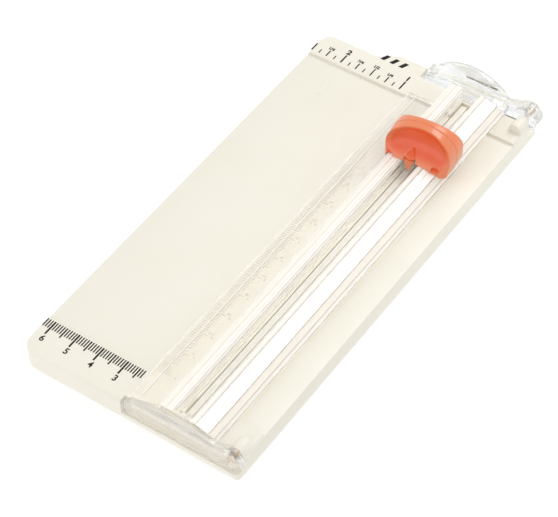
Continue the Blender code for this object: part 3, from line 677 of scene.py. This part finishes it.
def rail_outline(grow=0.0):
    """The rail's outer section (x, z), grown outwards where a neighbour has to clear it."""
    left, right, top = RAIL_LEFT - grow, RAIL_HIGH.x + grow, RAIL_HIGH.z + grow
    flange, under = RAIL_LOW.x, RAIL_LOW.z
    (crest_x, _), (upper_x, upper_z), (lower_x, lower_z), (_, foot_z) = RAIL_SLOPE
    return [
        (flange - grow, under - grow),
        (right, under - grow),
        (right, RIM_Z + foot_z * MM + grow),
        (CUT_X + lower_x * MM + grow, RIM_Z + lower_z * MM + grow),
        (CUT_X + upper_x * MM + grow, RIM_Z + upper_z * MM + grow),
        (CUT_X + crest_x * MM + grow / 2, top),
        (left, top),
        (left, FLANGE_TOP + grow),
        (flange + 1.2 * MM, FLANGE_TOP + grow),
        (flange - grow, RIM_Z + 1.0 * MM + grow),
    ]


def make_rail():
    rail = prism("clear_arm_rail", rail_outline(), RAIL_LOW.y, RAIL_HIGH.y)
    over = 4 * MM
    band = prism("scale_band", [
        (SCALE_LEFT, FLANGE_TOP), (SCALE_LEFT, FLANGE_TOP + over), (SCALE_RIGHT, FLANGE_TOP + over),
        (SCALE_RIGHT, FLANGE_TOP), (SCALE_RIGHT - SCALE_DEPTH, FLANGE_TOP - SCALE_DEPTH),
        (SCALE_LEFT + SCALE_DEPTH, FLANGE_TOP - SCALE_DEPTH),
    ], SLOT_NEAR, FLANGE_FAR - 0.6 * MM)
    slot = box("slot", (CUT_X - SLOT_HALF, SLOT_NEAR, RAIL_LOW.z - over),
               (CUT_X + SLOT_HALF, SLOT_FAR, RAIL_HIGH.z + over))
    track = box("track", (CUT_X - TRACK_HALF, SLOT_NEAR, TRACK_FLOOR),
                (CUT_X + TRACK_HALF, SLOT_FAR, TRACK_CEILING))
    flange_end = box("flange_end", (RAIL_LOW.x - over, FLANGE_FAR, RAIL_LOW.z - over),
                     (RAIL_LEFT, RAIL_HIGH.y + over, RAIL_HIGH.z + over))
    combine(rail, [slot, track, band, flange_end], "DIFFERENCE")
    weld(rail)
    soften(rail, 0.15 * MM, segments=2, angle=50)
    shade(rail, 20)
    finish_piece(rail, CLEAR, "arm", ["clear_rail"])


def rail_surface(x):
    """Height of the rail's upper surface at x from the cutting line, in mm."""
    far_off = 99.0
    corners = [(-far_off, RAIL_SLOPE[0][1])] + RAIL_SLOPE + [(far_off, RAIL_SLOPE[-1][1])]
    for (left, high), (right, low) in zip(corners, corners[1:]):
        if x <= right:
            return RIM_Z + (high + (low - high) * (x - left) / (right - left)) * MM


def rail_lines(name, material, lines, lift):
    """Thin straight pieces along the rail for painted lines and bands of light and shade, each given
    by its middle and width in mm.
    """
    sink = 0.04 * MM
    parts = []
    for middle, width in lines:
        left, right = middle - width / 2, middle + width / 2
        low, high = rail_surface(left), rail_surface(right)
        outline = [(CUT_X + left * MM, low - sink), (CUT_X + right * MM, high - sink),
                   (CUT_X + right * MM, high + lift), (CUT_X + left * MM, low + lift)]
        parts.append(prism("line", outline, RAIL_LOW.y + GAP, RAIL_HIGH.y - GAP))
    finish_piece(gather(name, parts), material, "arm")


def flange_lines(name, material, lines, sink, lift):
    """Thin straight pieces along the flange for painted lines of light and shade, each given by its
    middle and width.
    """
    parts = []
    for x, width in lines:
        parts.append(box("line", (x - width / 2, SLOT_NEAR, FLANGE_TOP - sink),
                         (x + width / 2, FLANGE_FAR - GAP, FLANGE_TOP + lift)))
    finish_piece(gather(name, parts), material, "arm")


def make_rail_lines():
    """Painted highlights, painted dark lines and painted light bands along the rail and the flange,
    where the moulding's steps and ribs show bright and dark lines.
    """
    # Painted highlights, painted dark lines and painted light bands, each as its middle and width in
    # mm from the cutting line.
    bright = [(-8.3, 0.40), (-5.4, 0.45), (-4.45, 0.35), (4.35, 0.6), (6.65, 1.9), (8.9, 2.3),
              (12.85, 0.35)]
    dark = [(-6.4, 0.14), (-3.75, 0.14), (5.5, 0.16), (10.3, 0.2), (12.1, 0.16)]
    pale = [(-5.7, 4.6), (4.4, 1.9), (11.55, 2.3)]
    rail_lines("rail_painted_light_bands", PAINTED_LIGHT_BAND, pale, 0.015 * MM)
    rail_lines("rail_painted_highlights", PAINTED_GLINT, bright, 0.05 * MM)
    rail_lines("rail_painted_dark_lines", PAINTED_DARK_LINE, dark, 0.03 * MM)
    # Painted highlights along the edges of the slot and the track.
    steps = []
    for x, low, high in ((-3.2, 4.9, 5.22), (-3.2, 3.7, 3.95), (-3.2, 1.15, 1.4), (3.2, 1.1, 1.4)):
        inner = -1 if x > 0 else 1
        start, end = sorted((x - inner * 0.1, x + inner * 0.15))
        steps.append(box("step", (CUT_X + start * MM, SLOT_NEAR, RIM_Z + low * MM),
                         (CUT_X + end * MM, SLOT_FAR, RIM_Z + high * MM)))
    finish_piece(gather("slot_edge_painted_highlights", steps), PAINTED_GLINT, "arm")
    # Painted dark lines and painted highlights along the flange.
    flange_dark_line_places = [(RAIL_LEFT - 0.35 * MM, 0.2 * MM), (SCALE_LEFT - 0.12 * MM, 0.1 * MM),
             (SCALE_RIGHT + 0.3 * MM, 0.16 * MM)]
    flange_lines("flange_painted_dark_lines", PAINTED_DARK_LINE, flange_dark_line_places, 0.04 * MM, 0.03 * MM)
    flange_glint_places = [(RAIL_LOW.x + 1.0 * MM, 0.3 * MM), (SCALE_RIGHT + 0.1 * MM, 0.3 * MM)]
    flange_lines("flange_painted_highlights", PAINTED_GLINT, flange_glint_places, 0.15 * MM, 0.05 * MM)


def make_arm_scale():
    """A moulded millimetre scale along the flange, with its numbers towards the rail."""
    thick = 0.12 * MM
    half = 0.15 * MM
    sink = 0.02 * MM
    z = FLANGE_TOP - sink
    band = FLANGE_TOP - SCALE_DEPTH - sink
    left = SCALE_RIGHT + 0.4 * MM
    parts = []
    for step in range(0, 111):
        y = BED_NEAR + (1 + step) * MM
        parts.append(box("mark", (SCALE_LEFT + 0.5 * MM, y - half, band),
                         (SCALE_RIGHT - 0.5 * MM, y + half, band + thick)))
        length = 1.4
        if step % 10 == 0:
            length = 2.8
        elif step % 5 == 0:
            length = 2.1
        parts.append(box("tick", (left, y - half, z), (left + length * MM, y + half, z + thick)))
        if step % 10 == 0:
            parts.append(box("dot", (CUT_X - 12.8 * MM, y - 0.35 * MM, z),
                             (CUT_X - 12.1 * MM, y + 0.35 * MM, z + thick)))
            if step:
                label = glyphs(str(step // 10), 2.2 * MM, (0, 0), 0, thick, 0.02)
                label.data.transform(Matrix.Rotation(math.radians(90), 4, "Z"))
                label.data.transform(Matrix.Translation((left + 3.3 * MM, y + 1.3 * MM, z)))
                parts.append(label)
    finish_piece(gather("arm_scale", parts), FROSTED, "arm")


def curve_through(knots, steps=8):
    """A smooth line through the knots, by Catmull-Rom."""
    padded = [knots[0]] + list(knots) + [knots[-1]]
    points = []
    for i in range(1, len(padded) - 2):
        before, start, end, after = (Vector(padded[i + k]) for k in (-1, 0, 1, 2))
        for j in range(steps):
            t = j / steps
            value = 0.5 * (2 * start + (end - before) * t
                           + (2 * before - 5 * start + 4 * end - after) * t ** 2
                           + (3 * start - before - 3 * end + after) * t ** 3)
            points.append(tuple(value))
    points.append(tuple(knots[-1]))
    return points


def bar_outline(top_points, left, bottom):
    """An end bar seen along Y: a long low bar with the hinge knuckle at its right end."""
    corner = 2.4 * MM
    points = arc(left + corner, bottom + corner, corner, 180, 270, 10)
    points.append((HINGE_X - 7.5 * MM, bottom))
    points += arc(HINGE_X, HINGE_Z, KNUCKLE_R, -110, 110, 32)
    points += top_points
    return points


def make_near_bracket():
    top = curve_through([
        (RAIL_HIGH.x + 1.0 * MM, RIM_Z + 3.4 * MM),
        (CUT_X + 7.0 * MM, RAIL_HIGH.z - 0.3 * MM),
        (CUT_X - 1.0 * MM, RAIL_HIGH.z + 0.2 * MM),
        (RAIL_LEFT, RAIL_HIGH.z - 0.2 * MM),
        (CUT_X - 15.0 * MM, RIM_Z + 3.2 * MM),
        (CUT_X - 20.0 * MM, RIM_Z + 1.4 * MM),
        (NEAR_LOW.x, RIM_Z - 0.8 * MM),
    ])
    bracket = prism("clear_near_bar", bar_outline(top, NEAR_LOW.x, NEAR_LOW.z),
                    NEAR_LOW.y, NEAR_HIGH.y)
    bore = prism("bore", circle(HINGE_X, HINGE_Z, BORE_R), NEAR_LOW.y - MM, NEAR_HIGH.y + MM)
    combine(bracket, [bore], "DIFFERENCE")
    weld(bracket)
    soften(bracket, 0.3 * MM, segments=3, angle=50)
    shade(bracket, 30)
    finish_piece(bracket, NEAR_CLEAR, "arm", ["near_bracket"])


def arch_spread(z):
    """How far from its top the arch reaches, in degrees, where it comes down to z."""
    return math.degrees(math.acos((z - ARCH_CENTRE_Z) / ARCH_R))


def make_far_bracket():
    level = RIM_Z + 3.0 * MM
    left = CUT_X - 20.5 * MM
    right = RAIL_HIGH.x
    bar = prism("clear_far_end", bar_outline([(right, level), (left, level)], FAR_LOW.x, FAR_LOW.z),
                FAR_HIGH.y - 3.6 * MM, FAR_HIGH.y)
    crown = curve_through([
        (right, RIM_Z + 2.2 * MM), (CUT_X + 7.0 * MM, RIM_Z + 4.0 * MM),
        (ARCH_X, RIM_Z + 5.2 * MM), (CUT_X - 13.0 * MM, RIM_Z + 4.0 * MM),
        (left, RIM_Z + 1.6 * MM),
    ])
    shelf = prism("shelf", [(left, RAIL_LOW.z), (right, RAIL_LOW.z)] + crown,
                  FAR_LOW.y, FAR_HIGH.y - MM)
    spread = arch_spread(RIM_Z + 1.3 * MM)
    arch = prism("arch", arc(ARCH_X, ARCH_CENTRE_Z, ARCH_R, 90 - spread, 90 + spread, 72),
                 FAR_HIGH.y - 1.8 * MM, FAR_HIGH.y)
    knuckle = prism("knuckle", circle(HINGE_X, HINGE_Z, KNUCKLE_R, 64),
                    KNUCKLE_NEAR, FAR_HIGH.y - 0.5 * MM)
    combine(bar, [shelf, arch, knuckle], "UNION")
    slit = box("slit", (ARCH_X - 13 * MM, FAR_HIGH.y - 3.3 * MM, RIM_Z + 2.2 * MM),
               (ARCH_X + 15 * MM, FAR_HIGH.y - 1.8 * MM, RIM_Z + 12 * MM))
    bore = prism("bore", circle(HINGE_X, HINGE_Z, BORE_R), FAR_LOW.y - MM, FAR_HIGH.y + MM)
    combine(bar, [slit, bore], "DIFFERENCE")
    weld(bar)
    soften(bar, 0.25 * MM, segments=2, angle=50, clamp=True)
    shade(bar, 30)
    finish_piece(bar, FAR_CLEAR, "arm", ["far_bracket"])


def joint_streak(first, last, drop, thick):
    """A thin streak of painted shade in the near joint, drop below the rail's upper surface, all in
    mm.
    """
    steps = 12
    upper = []
    lower = []
    for i in range(steps + 1):
        x = first + (last - first) * i / steps
        high = rail_surface(x) - drop * MM
        belly = 0.05 + thick * math.sin(math.pi * i / steps)
        upper.append((CUT_X + x * MM, high))
        lower.append((CUT_X + x * MM, high - belly * MM))
    slack = 0.08 * MM
    return prism("streak", upper + lower[::-1], NEAR_HIGH.y + slack, RAIL_LOW.y - slack)


def make_end_shades():
    """Painted shade: dark lines in the rail's near joint, in the slit under the arch and round the
    arch.
    """
    streaks = [joint_streak(-3.4, -1.2, 0.5, 0.9), joint_streak(0.5, 13.0, 0.3, 0.5),
               joint_streak(2.5, 12.2, 1.2, 0.5), joint_streak(4.5, 10.8, 2.1, 0.4)]
    finish_piece(gather("near_joint_shade", streaks), SHADE, "arm")
    parts = []
    # Painted shade in the slit under the arch.
    for start, end in ((-1.5, 2.0), (2.5, 5.6), (6.2, 7.4), (8.2, 11.2)):
        parts.append(box("segment", (ARCH_X + start * MM, FAR_HIGH.y - 2.1 * MM, RIM_Z + 5.5 * MM),
                         (ARCH_X + end * MM, FAR_HIGH.y - 1.85 * MM, RIM_Z + 6.2 * MM)))
    finish_piece(gather("far_slit_shade", parts), SHADE, "arm")
    # Painted shade round the edge of the arch.
    spread = arch_spread(RIM_Z + 4.5 * MM)
    skin, core = 0.12 * MM, 0.34 * MM
    outer = arc(ARCH_X, ARCH_CENTRE_Z, ARCH_R - skin, 90 - spread, 90 + spread, 72)
    inner = arc(ARCH_X, ARCH_CENTRE_Z, ARCH_R - core, 90 + spread, 90 - spread, 72)
    edge = prism("arch_edge_shade_line", outer + inner, FAR_HIGH.y - core, FAR_HIGH.y - skin)
    finish_piece(edge, ARCH_EDGE_SHADE, "arm")


# ---------------------------------------------------------------- knob

def knob_arch():
    """The knob's outline seen along Y, as (x, z, share) with share 0 on the legs and 1 on top."""
    legs = []
    leg_steps = 14
    for i in range(leg_steps):
        share = i / leg_steps
        half = KNOB_HALF_WIDTH - (KNOB_HALF_WIDTH - KNOB_FOOT_HALF) * (1 - share) ** 1.5
        legs.append((half, KNOB_LOW.z + (KNOB_SHOULDER - KNOB_LOW.z) * share, 0.0))
    points = list(legs)
    steps = 80
    for i in range(steps + 1):
        turn = math.pi * i / steps
        across = abs(math.cos(turn)) ** (2 / ARCH_POWER) * math.copysign(1, math.cos(turn))
        rise = abs(math.sin(turn)) ** (2 / ARCH_POWER)
        z = KNOB_SHOULDER + (KNOB_HIGH.z - KNOB_SHOULDER) * rise
        points.append((KNOB_HALF_WIDTH * across, z, rise))
    points += [(-half, z, 0.0) for half, z, _ in reversed(legs)]
    return points


def rim_half_width(z, share):
    """How far the rim of a dish stands from the knob's middle plane."""
    at_shoulder = 5.4 * MM
    at_top = 2.5 * MM
    if share > 0:
        return at_shoulder + (at_top - at_shoulder) * share ** 1.6
    drop = smooth_step((z - LIP_Z) / (KNOB_SHOULDER - LIP_Z))
    return KNOB_HALF_LENGTH + (at_shoulder - KNOB_HALF_LENGTH) * drop


def dish_half_width(z):
    """Half the knob's thickness in the middle of its dishes: a thin fin on a broad lip."""
    above = max(z - LIP_Z, 0.0) / DISH_FALL
    return FIN_HALF + (KNOB_HALF_LENGTH - FIN_HALF) * math.exp(-above ** 1.7)


def plan_limit(x):
    """How far the knob may reach along Y at x, so that its plan has rounded corners."""
    return KNOB_HALF_LENGTH * math.sqrt(max(1 - abs(x / PLAN_HALF) ** 8, 0.0))


def knob_section(x, z, share):
    """The knob's section from its front dish over one point of the arch to its back dish."""
    rim_y = min(rim_half_width(z, share), plan_limit(x))
    inset = (0.4 - 0.15 * share) * MM
    inward = 1 - inset / math.hypot(x, z - KNOB_LOW.z)
    half = []
    steps = 10
    for i in range(steps + 1):
        turn = math.pi / 2 * i / steps
        scale = 1 - (1 - inward) * (1 - math.cos(turn))
        half.append((x * scale, rim_y * math.sin(turn), KNOB_LOW.z + (z - KNOB_LOW.z) * scale))
    rings = 26
    for i in range(1, rings):
        ring = 1 - (i / rings) ** 1.3
        ring_x = x * inward * ring
        ring_z = KNOB_LOW.z + (z - KNOB_LOW.z) * inward * ring
        middle = dish_half_width(ring_z)
        reach = min(middle + (rim_y - middle) * ring ** 6, plan_limit(ring_x))
        half.append((ring_x, reach, ring_z))
    front = [(px, -py, pz) for px, py, pz in reversed(half[1:])]
    return front + half


def knob_place():
    """From the knob's own axes to the part's: turned a little, and moved to its place."""
    return Matrix.Translation((KNOB_X, CARRIAGE_Y, 0)) @ Matrix.Rotation(KNOB_TURN, 4, "Z")


def knob_solid():
    """The knob's closed outer shape before it is hollowed."""
    shape = bmesh.new()
    front_foot = shape.verts.new((0, -KNOB_HALF_LENGTH, KNOB_LOW.z))
    back_foot = shape.verts.new((0, KNOB_HALF_LENGTH, KNOB_LOW.z))
    columns = []
    for x, z, share in knob_arch():
        column = [shape.verts.new(point) for point in knob_section(x, z, share)]
        columns.append([front_foot] + column + [back_foot])
    for left, right in zip(columns, columns[1:]):
        for i in range(len(left) - 1):
            corners = [left[i], left[i + 1], right[i + 1], right[i]]
            shape.faces.new(list(dict.fromkeys(corners)))
    bottom = columns[0] + list(reversed(columns[-1]))[1:-1]
    shape.faces.new(bottom)
    bmesh.ops.triangulate(shape, faces=shape.faces)
    solid = from_bmesh("coral_knob", shape)
    solid.data.transform(knob_place())
    return solid


def pointer_crest(side):
    """The pointer's upper half, standing out of the lip and leaning back into the dish."""
    corners = [(0, 4.6, 10.0), (-2.0, 7.4, 7.0), (2.0, 7.4, 7.0), (0, 8.3, 7.1), (0, 4.0, 7.0),
               (-1.9, 7.6, 6.0), (1.9, 7.6, 6.0), (0, 8.3, 6.0), (0, 4.0, 6.0)]
    shape = bmesh.new()
    for x, y, z in corners:
        shape.verts.new((CUT_X + x * MM, CARRIAGE_Y + side * y * MM, RIM_Z + z * MM))
    bmesh.ops.convex_hull(shape, input=shape.verts)
    return from_bmesh("pointer_crest", shape)


def knob_cavity():
    """The room for the blade and its cradle inside the knob, narrowing upwards."""
    steps = [(6.0, 6.6), (4.2, 8.2), (3.1, 9.4), (2.3, 10.6), (1.6, 11.3)]
    right = [(CARRIAGE_Y + y * MM, RIM_Z + z * MM) for y, z in steps]
    left = [(2 * CARRIAGE_Y - y, z) for y, z in reversed(right)]
    low = KNOB_LOW.z - MM
    outline = [(left[-1][0], low), (right[0][0], low)] + right + left
    return prism("cavity", outline, CUT_X - CAVITY_HALF_X, CUT_X + CAVITY_HALF_X, axis="X")


def crest_crease(item):
    """Press the fine parting groove into the crest of the knob's arch."""
    depth = 0.3 * MM
    half_width = 0.36 * MM
    back = knob_place()
    away = back.inverted()
    for vertex in item.data.vertices:
        place = away @ vertex.co
        aside = abs(place.y) / half_width
        rise = max(place.z - KNOB_SHOULDER, 0.0) / (KNOB_HIGH.z - KNOB_SHOULDER)
        out = math.hypot(place.x / KNOB_HALF_WIDTH, rise)
        if aside < 1 and out > 0.9 and place.z > LIP_Z:
            inward = (Vector((0, place.y, KNOB_LOW.z)) - place).normalized()
            vertex.co = back @ (place + inward * depth * (1 - aside ** 2) ** 2)


def make_knob():
    """The coral knob: hollowed, holed and rounded by an even remesh, then creased."""
    knob = knob_solid()
    combine(knob, [pointer_crest(-1), pointer_crest(1)], "UNION")
    ends = (CARRIAGE_Y - 20 * MM, CARRIAGE_Y + 20 * MM)
    half_x, half_y = SHOE_HALF_X + GAP, SHOE_HALF_Y + GAP
    cutters = [
        prism("clearance", rail_outline(grow=RAIL_CLEARANCE), *ends),
        knob_cavity(),
        box("pocket", (CUT_X - half_x, CARRIAGE_Y - half_y, RIM_Z),
            (CUT_X + half_x, CARRIAGE_Y + half_y, SHOE_TOP + GAP)),
    ]
    for side in (-1, 1):
        outside = side * (KNOB_HALF_LENGTH + 2 * MM)
        inside = side * (KNOB_HALF_LENGTH - EAR_HOLE_DEPTH)
        start = CARRIAGE_Y + outside
        cutters.append(box("window", (CUT_X - 2.1 * MM, min(start, CARRIAGE_Y), RIM_Z),
                           (CUT_X + 2.1 * MM, max(start, CARRIAGE_Y), RIM_Z + 6.9 * MM)))
        for across in (EAR_HOLE_MIDDLE - EAR_HOLE_X, EAR_HOLE_MIDDLE + EAR_HOLE_X):
            outline = [(x, EAR_HOLE_Z + (z - EAR_HOLE_Z) * EAR_HOLE_FLATNESS)
                       for x, z in circle(across, EAR_HOLE_Z, EAR_HOLE_R)]
            hole = prism("ear_hole", outline, min(outside, inside), max(outside, inside))
            hole.data.transform(knob_place())
            cutters.append(hole)
        pilot = circle(CUT_X + side * SCREW_X, CARRIAGE_Y, PILOT_R)
        cutters.append(prism("pilot", pilot, RIM_Z, RIM_Z + 10.3 * MM, axis="Z"))
    combine(knob, cutters, "DIFFERENCE")
    even = knob.modifiers.new("Even", "REMESH")
    even.mode = "VOXEL"
    even.voxel_size = 0.17 * MM
    smooth = knob.modifiers.new("Smooth", "SMOOTH")
    smooth.factor = 0.5
    smooth.iterations = 5
    settle(knob)
    crest_crease(knob)
    knob.data.shade_smooth()
    finish_piece(knob, CORAL, "carriage", ["knob_shell"])


# ---------------------------------------------------------------- finishes of the frame's own pieces

def dress(node, material, edge=None):
    """Give a frame node its finish, and round its edges where edge says how far."""
    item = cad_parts[node]
    item.data.materials.clear()
    item.data.materials.append(material)
    if edge:
        join = item.modifiers.new("Weld", "WELD")
        join.merge_threshold = 0.001 * MM
        step = item.modifiers.new("Edges", "BEVEL")
        step.width = edge
        step.segments = 2
        step.limit_method = "ANGLE"
        step.angle_limit = math.radians(40)


def dress_frame():
    dress("cutting_strip", STRIP, 0.12 * MM)
    dress("slide_shoe", CORAL, 0.12 * MM)
    for foot in FEET:
        dress(foot, RUBBER, 0.2 * MM)
    for pin in ("hinge_pin_near", "hinge_pin_far"):
        dress(pin, PIN, 0.15 * MM)
    for runner in ("runner_left", "runner_right"):
        dress(runner, ACETAL, 0.15 * MM)
    for piece in ("shoe_screw_left", "shoe_screw_right", "spring_left", "spring_right",
                  "blade_cradle", "blade_axle"):
        dress(piece, STEEL)
    dress("rotary_blade", BLADE)
    dress("blade_bush", BRONZE)


# ---------------------------------------------------------------- studio

def make_floor():
    """A pale floor that glows a little, so that it stays white and takes only faint shadows."""
    size = 3.0
    shape = bmesh.new()
    corners = [(-size, -size), (size, -size), (size, size), (-size, size)]
    shape.faces.new([shape.verts.new((x, y, 0)) for x, y in corners])
    floor = from_bmesh("floor", shape)
    paper = Finish("floor_look", Roughness=0.9)
    cloud = paper.noise(0.3)
    paper.colour(cloud, (0.28, 0.28, 0.28), (0.27, 0.27, 0.27))
    paper.shader.inputs["Emission Color"].default_value = (1.0, 1.0, 1.0, 1.0)
    paper.shader.inputs["Emission Strength"].default_value = 0.75
    floor.data.materials.append(paper.material)


def make_world():
    """Soft surrounding light, brightest overhead and dimmer near the horizon."""
    world = bpy.data.worlds.new("studio")
    bpy.context.scene.world = world
    world.use_nodes = True
    nodes, links = world.node_tree.nodes, world.node_tree.links
    place = nodes.new("ShaderNodeTexCoord")
    split = nodes.new("ShaderNodeSeparateXYZ")
    ramp = nodes.new("ShaderNodeValToRGB")
    back = nodes["Background"]
    links.new(place.outputs["Generated"], split.inputs[0])
    links.new(split.outputs["Z"], ramp.inputs[0])
    links.new(ramp.outputs[0], back.inputs["Color"])
    ramp.color_ramp.elements[0].position = 0.05
    ramp.color_ramp.elements[0].color = (1.15, 1.15, 1.15, 1)
    ramp.color_ramp.elements[1].position = 0.55
    ramp.color_ramp.elements[1].color = (0.92, 0.92, 0.92, 1)
    back.inputs["Strength"].default_value = 0.79


def make_lamp(name, centre, size, energy, along, colour=(1, 1, 1)):
    """A softbox at centre that faces the object, with its long side turned towards along."""
    lamp = bpy.data.lights.new(name, "AREA")
    lamp.shape = "RECTANGLE"
    lamp.size, lamp.size_y = size
    lamp.energy = energy
    lamp.color = colour
    item = link(name, lamp)
    back = Vector(centre).normalized()
    side = Vector(along)
    up = (side - back * side.dot(back)).normalized()
    turn = Matrix((up.cross(back), up, back)).transposed().to_4x4()
    item.matrix_world = Matrix.Translation(centre) @ turn
    item.visible_transmission = False


def make_camera():
    """The camera stands to the right of the near end and looks down at the object."""
    azimuth, elevation, roll = CAMERA_ANGLES
    back = Vector((math.sin(azimuth) * math.cos(elevation),
                   -math.cos(azimuth) * math.cos(elevation), math.sin(elevation)))
    right = Vector((0, 0, 1)).cross(back).normalized()
    up = back.cross(right)
    turned_right = right * math.cos(roll) + up * math.sin(roll)
    turned_up = up * math.cos(roll) - right * math.sin(roll)
    data = bpy.data.cameras.new("camera")
    data.sensor_width = 36.0
    data.lens = CAMERA_LENS
    data.clip_start, data.clip_end = 0.01, 20.0
    item = link("camera", data)
    turn = Matrix((turned_right, turned_up, back)).transposed().to_4x4()
    item.matrix_world = Matrix.Translation(CAMERA_PLACE) @ turn
    bpy.context.scene.camera = item


def main():
    make_camera()
    make_floor()
    make_world()
    make_lamp("key", (0.175, 0.49, 0.745), (0.32, 0.60), 3.2, (0, 1, 0), (1.0, 0.99, 0.98))
    make_lamp("fill", (-0.25, -0.85, 0.42), (0.7, 0.5), 1.4, (0, 0, 1), (1.0, 0.98, 0.97))
    make_lamp("streak", (-0.39, -0.57, 0.72), (0.5, 0.04), 0.7, (0, -0.78, -0.62))
    bpy.context.scene.view_settings.view_transform = "Standard"

    make_base()
    make_near_ruler()
    make_far_ruler()
    make_far_rim_mark()
    make_bed_marks()
    make_rail()
    make_rail_lines()
    make_arm_scale()
    make_near_bracket()
    make_far_bracket()
    make_end_shades()
    make_knob()
    dress_frame()


main()
